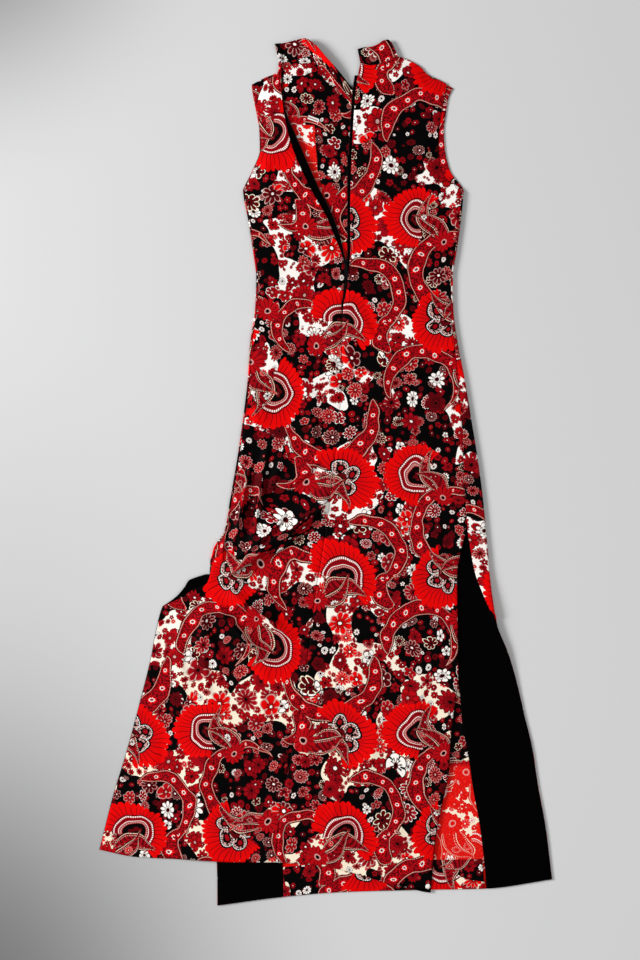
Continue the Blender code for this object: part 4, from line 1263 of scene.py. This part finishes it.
def back_grid(side, rows=420, columns=110):
    """Across, down and top height of one half of the back."""
    half, shares = HALVES[side], spread(columns, 0.22)
    if side == "left":
        shares = shares**1.3
    crowd = FINER if side == "left" else None
    down = level_rows(rows, half.top, half.hem, shares, crowd=crowd)
    across = half_across(side, down, shares)
    on_shoulder = np.clip((half.neck[1] - shares) / (half.neck[1] - half.neck[0]), 0, 1)
    from_top = down - through(half.top, "down", shares, "share")
    from_hem = through(half.hem, "down", shares, "share") - down
    shoulder = on_shoulder * (1 - ease(from_top / EDGE_CALM))
    up = back_under(side, across, down, shoulder) + WALL
    up = up + slack_cloth(side, across, down) * ease(from_top / 20) * ease(from_hem / 6)
    return across, down, up - 0.5 * bell(from_hem / 1.8)


def cloth_place(side, across, down, up):
    """Place on the flat cloth: the distance along a row over its folds, from the centre edge.

    A sharp crease takes up TUCK height tanh(aside/half width)/2 at right angles to its line.
    """
    more_across, more_down = 0, 0
    for fold in CREASES:
        if fold.height >= TUCK_FROM:
            aside, ends, run = crease_frame(across, down, fold)
            taken = TUCK * fold.height * ends * np.tanh(aside / fold.half_width) / 2
            near = bell(aside / TUCK_REACH)
            more_across = more_across - taken * near * run[1]
            more_down = more_down + taken * near * run[0]
    distance = run_length(across, up)
    edge = -1 if side == "left" else 0
    flat = distance - distance[:, edge, None] + across[:, edge, None]
    return flat + more_across, down + more_down


def back_half(side):
    """One half with the print matched to the other's at the centre seam."""
    grid, name = back_grid(side), "back_" + side
    own = ("printed_cloth", name, back_print)
    thing = piece(name + "_cloth", grid, cloth_place(side, *grid), *own)


back_print = cloth_material("back_print", BACK_CUT)
back_half("left")
back_half("right")

# === Back slit facings =================================================================
# Black strips inside the back's slit edges and hem corner. The left one rolls out past
# its edge at the top of the slit. The right one hangs a little below the hem.

FACING_SHOW, FACING_DROP, FACING_SHORT = 0.8, 6.0, 0.8
# Outer edge of the left facing where it rolls out at the slit's top.
LEFT_FACING_TURN = table(
    "down across",
    (917, -201), (930, -236), (941, -243), (958, -258), (975, -282),
)
# The shares of each half that its facing lies under, and the facing's top.
FACING_UNDER = {
    "left": (0.0, 0.38, LEFT_FACING_TURN[0].down + 2.0),
    "right": (0.58, 1.0, SLIT_TOP_RIGHT + 4.0),
}


def back_facing(side):
    """The strip under the outer part of a half, one layer below it, and on past its edge."""
    half, is_left = HALVES[side], side == "left"
    first, last, start = FACING_UNDER[side]
    shares = np.linspace(first, last, 26)
    down = level_rows(300, half.top, half.hem, shares, low=start)
    across = half_across(side, down, shares)
    under = back_under(side, across, down, 0.0)
    edge = slice(0, 1) if is_left else slice(-1, None)
    rim, rim_down = across[:, edge], down[:, edge]
    show = rim + half.outward * FACING_SHOW
    if is_left:
        turn = through(LEFT_FACING_TURN, "across", rim_down)
        turned_out = rim_down < LEFT_FACING_TURN[-1].down
        show = np.where(turned_out, np.minimum(turn, show), show)
        share = np.linspace(0, 1, 9)[None, :-1]
        beyond = show + (rim - show) * share
        drop = -FACING_SHORT + 0 * across[-1:]
    else:
        share = np.linspace(0, 1, 4)[None, 1:]
        beyond = rim + (show - rim) * share
        corner = ease((across[-1:] - 130) / 45)
        drop = FACING_DROP * corner - FACING_SHORT * (1 - corner)
    hang = ease((down - (HEM_DOWN - 40)) / 40) * drop
    inner = (across, down + hang, under)
    outer = (beyond, rim_down + hang[:, edge] + 0 * share, under[:, edge] + 0 * share)
    pairs = zip(outer, inner) if is_left else zip(inner, outer)
    across, down, up = (np.hstack(pair) for pair in pairs)
    up = up - LAYER + WALL
    up = up - 0.35 * bell((across - across[:, edge]) / 1.3)
    grid, name = (across, down, up), "back_facing_" + side
    thing = piece(name + "_cloth", grid, (across, down), "black_cloth", name, black_cloth)


back_facing("left")
back_facing("right")

# === Collar ============================================================================
# A stand collar of the same print, stiffened, open at the centre back. Its front part
# shows its inside; its right end lies folded down; of the left end only the edge shows.

COLLAR_FRONT = table(
    "foot_across foot_down foot_up rim_across rim_down rim_up",
    (-76, 40, 1.5, -87.5, 8, 1.5), (-62, 38, 1.5, -70, 6, 2.8), (-50, 34, 1.5, -51, 2, 7.0),
    (-30, 31, 1.5, -37, 0, 10.0), (-12, 46, 1.5, -22, 8, 12.0), (8, 68, 1.5, 0, 32, 12.0),
    (26, 92, 1.5, 24, 58, 8.0), (40, 106, 1.5, 43, 80, 1.6), (56, 117, 1.5, 62, 95, 1.5),
    (76, 117, 1.5, 78, 93, 1.5), (98, 92, 1.5, 90, 74, 1.5), (111, 66, 1.5, 98, 50, 1.5),
)
COLLAR_RIGHT = table(
    "foot_across foot_down foot_up rim_across rim_down rim_up",
    (59, 41.1, 4.5, 54, 17, 4.5), (68, 43.0, 4.8, 65, 14.5, 5.6), (79, 44.0, 5.0, 77, 13.5, 6.4),
    (90, 41.9, 5.0, 90, 8.5, 6.8), (101, 39.0, 5.0, 98, 3, 6.4), (113, 34.0, 4.8, 106, 1, 5.4),
    (124, 29.0, 4.5, 112, 4, 4.5),
)
COLLAR_LEFT = table(
    "foot_across foot_down foot_up rim_across rim_down rim_up",
    (-81, 37.6, 4.5, -88, 8, 4.5), (-79, 37.6, 4.5, -82.5, 7.5, 4.6),
    (-77, 37.6, 4.5, -77, 7, 4.6),
)
COLLAR_HEIGHT, COLLAR_CLOTH_HEIGHT = 30.0, 34.0
COLLAR_CUT, COLLAR_RIGHT_CUT = (230.0, 250.0), (330.0, 300.0)


def band_grid(rows, columns, half, height):
    """A strip ruled from its foot to its rim through the table's sections.

    half names the half of the back whose top edge the foot is sewn to.
    """
    at = np.linspace(0, len(rows) - 1, columns)
    edge = {}
    for column in rows[0]._fields:
        numbered = enumerate(getattr(row, column) for row in rows)
        edge[column] = through(table("section value", *numbered), "value", at, "section")
    if half:
        back_across, back_down, _ = back_grid(half, rows=2, columns=200)
        order = np.argsort(back_across[0])
        seam = np.interp(edge["foot_across"], back_across[0][order], back_down[0][order])
        edge["foot_down"] = seam - GAP
    ends = [(edge["foot_" + way], edge["rim_" + way]) for way in ("across", "down", "up")]
    return [foot + (rim - foot) * height for foot, rim in ends]


def collar_piece(name, rows, columns, half, print_cloth):
    """A part of the collar, pressed thin along its rim and its foot."""
    height = spread(20, 0.5)[::-1, None]
    across, down, up = band_grid(rows, columns, half, height)
    rim, foot = (1 - height) * COLLAR_HEIGHT, height * COLLAR_HEIGHT
    up = up + WALL - 0.45 * bell(rim / 1.6) - 0.4 * bell(foot / 1.6)
    cloth = (run_length(across, up), (1 - height) * COLLAR_CLOTH_HEIGHT)
    own = ("printed_cloth", name, print_cloth)
    thing = piece(name + "_cloth", (across, down, up), cloth, *own, wall=WALL - 0.1)


collar_print = cloth_material("collar_print", COLLAR_CUT, 0.40)
end_print = cloth_material("collar_end_print", COLLAR_RIGHT_CUT, 0.6)
collar_piece("collar_front", COLLAR_FRONT, 150, None, collar_print)
collar_piece(
    "collar_right", COLLAR_RIGHT, 60, "right", end_print
)
collar_piece(
    "collar_left", COLLAR_LEFT, 10, "left", collar_print
)

# === Zip ===============================================================================
# A black nylon coil zip in the centre back, open to the waist. The left tape shows along
# the turned-back edge, the right one beside its edge. Below the slider it is closed.

LEFT_TEETH = table(
    "down across",
    (62, -75), (86, -75), (114, -72), (138, -65), (150, -59), (175, -48), (210, -33), (255, -13),
    (292, 6), (337, 23), (366, 30), (394, 35.85),
)
TEETH_SHOW = 5.0
TEETH_RIGHT_LIMIT = 37.0  # the right teeth hang no further right than this from here down
TEETH_LIMIT_DOWN = 200.0
ZIP_TOP = 62.0
TAPE_INSET, TAPE_INSET_NECK = 10.0, 3.0
TAPE_CLOTH = 0.6
COIL_PITCH = 1.5
COIL_LONG, COIL_WIDE, COIL_HIGH = 1.9, 0.95, 0.8  # a coil turn: across the tape, along it, up
BEAD_SHARES = np.array([0.0, 0.12, 0.5, 0.88, 1.0])
BEAD_GIRTHS = np.array([0.35, 0.8, 1.0, 0.8, 0.35])
BEAD_SIDES = 6
EDGE_ROUND = 0.18


def tape_edges(side, down):
    """The sewn edge under the back, and the toothed edge."""
    outward = HALVES[side].outward
    edge = opening_edge(side, down)
    if side == "left":
        loose = through(LEFT_TEETH, "across", down)
    else:
        loose = edge - TEETH_SHOW
        loose = np.where(down < TEETH_LIMIT_DOWN, loose, np.minimum(loose, TEETH_RIGHT_LIMIT))
        meet = through(CENTRE, "across", ZIP_MEET) + GAP / 2
        loose = loose + (meet - loose) * ease((down - 366) / 28)
    closed = through(CENTRE, "across", down) + outward * GAP / 2
    inset = TAPE_INSET_NECK + (TAPE_INSET - TAPE_INSET_NECK) * ease((down - 84) / 30)
    return edge + outward * inset, np.where(down < ZIP_MEET, loose, closed)


def zip_tape(side):
    """A tape ruled between its edges, under the back, with the coil on its free edge."""
    down = np.linspace(ZIP_TOP, ZIP_STOP, 300)[:, None]
    hidden, teeth = tape_edges(side, down)
    share = np.linspace(0, 1, 9)[None, :]
    ends = (hidden, teeth) if side == "left" else (teeth, hidden)
    across = ends[0] + (ends[1] - ends[0]) * share
    rest = back_under(side, np.hstack(ends), down + np.zeros((1, 2)), 0.0)
    if side == "left":
        rest[:, 1] = np.minimum(rest[:, 1], rest[:, 0] + 0.8)
    up = rest[:, :1] + (rest[:, 1:] - rest[:, :1]) * share - GAP - 0.05
    grid, flat, name = (across, down, up), (across, down), "zip_tape_" + side
    thing = piece(name + "_cloth", grid, flat, "black_cloth", name, tape_black, wall=TAPE_CLOTH)
    column = -1 if side == "left" else 0
    teeth = coil(side, across[:, column], down[:, 0], up[:, column])


def coil(side, across, down, up):
    """Coil turns along a toothed edge as one mesh: squashed beads set COIL_PITCH apart.

    A bead's rings have the shares BEAD_GIRTHS of its middle's size at the shares
    BEAD_SHARES of its length.
    """
    step = np.hypot(np.hypot(np.diff(across), np.diff(down)), np.diff(up))
    run = np.concatenate([[0], np.cumsum(step)])
    at = np.arange(2.0, run[-1] - 1.0, COIL_PITCH) + (COIL_PITCH / 2 if side == "left" else 0)
    a, d, u = (np.interp(at, run, value) for value in (across, down, up))
    slope = np.gradient(a, d)
    lean = 1 / np.sqrt(1 + slope * slope)
    a, d, u, slope, lean = (value[:, None, None] for value in (a, d, u, slope, lean))
    turn = np.linspace(0, 2 * math.pi, BEAD_SIDES, endpoint=False)
    out = ((BEAD_SHARES - 0.35) * COIL_LONG * -HALVES[side].outward)[None, :, None]
    wide = BEAD_GIRTHS[:, None] * np.cos(turn) * COIL_WIDE / 2
    high = BEAD_GIRTHS[:, None] * np.sin(turn) * COIL_HIGH / 2
    x = a + out * lean + wide * (slope * lean)
    y = d - out * (slope * lean) + wide * lean
    points = placed(x, y, u + high - 0.15 + 0 * x).reshape(-1, 3)
    index = np.arange(len(BEAD_SHARES) * BEAD_SIDES).reshape(-1, BEAD_SIDES)
    after = np.roll(index, -1, axis=1)
    quads = np.stack([index[:-1], after[:-1], after[1:], index[1:]], -1).reshape(-1, 4)
    base = (np.arange(len(at)) * index.size)[:, None, None]
    faces = (quads[None] + base).reshape(-1, 4).tolist()
    first, last = (end[None] + base[:, 0] for end in (index[0][::-1], index[-1]))
    mesh = bpy.data.meshes.new("zip_coil_" + side)
    mesh.from_pydata(points.tolist(), [], faces + first.tolist() + last.tolist())
    mesh.materials.append(coil_black)
    mesh.shade_smooth()
    edited = bmesh.new()
    edited.from_mesh(mesh)
    bmesh.ops.recalc_face_normals(edited, faces=edited.faces)
    edited.to_mesh(mesh)
    edited.free()
    thing = new_object("zip_coil_" + side, mesh)
    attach(thing, "garment")
    return thing


def enamel_copy(solid, body):
    """A solid's own shape with its loose triangles merged and its edges rounded."""
    source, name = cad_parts[solid], solid + "_enamel"
    mesh = source.data.copy()
    mesh.name = name
    merged = bmesh.new()
    merged.from_mesh(mesh)
    merged.transform(source.matrix_world)
    bmesh.ops.remove_doubles(merged, verts=merged.verts, dist=2e-6)
    bmesh.ops.dissolve_limit(merged, angle_limit=0.02, verts=merged.verts, edges=merged.edges)
    bmesh.ops.recalc_face_normals(merged, faces=merged.faces)
    merged.to_mesh(mesh)
    merged.free()
    mesh.materials.clear()
    mesh.materials.append(enamel)
    mesh.shade_smooth()
    mesh.set_sharp_from_angle(angle=math.radians(35))
    thing = new_object(name, mesh)
    rounded = thing.modifiers.new("edges", "BEVEL")
    rounded.width, rounded.segments, rounded.limit_method = EDGE_ROUND * MM, 2, "ANGLE"
    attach(thing, body)
    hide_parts(solid)


tape_black = black_material("zip_tape_weave")
coil_black, _ = finish("nylon_coil", 0.45, 0.12, (0.003, 0.003, 0.0035))
enamel, _ = finish("slider_enamel", 0.55, 0.08, (0.002, 0.002, 0.0023))
zip_tape("left")
zip_tape("right")
enamel_copy("zip_slider", "garment")
enamel_copy("zip_pull_tab", "zip_pull")

# === Label =============================================================================
# A loop of narrow white ribbon, with nothing on it, sewn to the facing in the opening.

LABEL_LENGTH, LABEL_WIDTH = 20.0, 6.0
LABEL_ACROSS, LABEL_DOWN, LABEL_TURN = -21.5, 137.0, math.radians(-20.0)
RIBBON = 1.7  # width of the ribbon that the loop is made of
RIBBON_CLOTH = 0.6


def label_loop():
    """A flat ribbon along two straight runs and the half circle that joins them.

    Point (s, w): the middle line at distance s, moved out by w times half the ribbon,
    with its top falling by 0.25 exp(-e/0.3) at a distance e from either edge.
    """
    radius = (LABEL_WIDTH - RIBBON) / 2
    straight = LABEL_LENGTH - radius - RIBBON / 2
    bend = np.linspace(-math.pi / 2, math.pi / 2, 24)
    out = np.linspace(0, straight, 30)[:-1]
    x = np.concatenate([out, straight + radius * np.cos(bend), out[::-1]]) - LABEL_LENGTH / 2
    y = np.concatenate([out * 0 - radius, radius * np.sin(bend), out * 0 + radius])
    normal = np.concatenate([out * 0 - math.pi / 2, bend, out * 0 + math.pi / 2])[:, None]
    wide = np.linspace(-1, 1, 9)[None, :] * RIBBON / 2
    x, y = x[:, None] + wide * np.cos(normal), y[:, None] + wide * np.sin(normal)
    across = LABEL_ACROSS + x * math.cos(LABEL_TURN) + y * math.sin(LABEL_TURN)
    down = LABEL_DOWN - x * math.sin(LABEL_TURN) + y * math.cos(LABEL_TURN)
    up = 2 * LAYER + 1.0 - pressed(RIBBON / 2 - np.abs(wide), 0.25, 0.3) + 0 * x
    satin, _ = finish("white_ribbon_satin", 0.5, 0.3, (0.80, 0.80, 0.79))
    own = {"wall": RIBBON_CLOTH, "face_up": False}
    grid = (across, down, up)
    return piece("label_loop_ribbon", grid, (x, y), "white_ribbon", "label_loop", satin, **own)


label_loop()
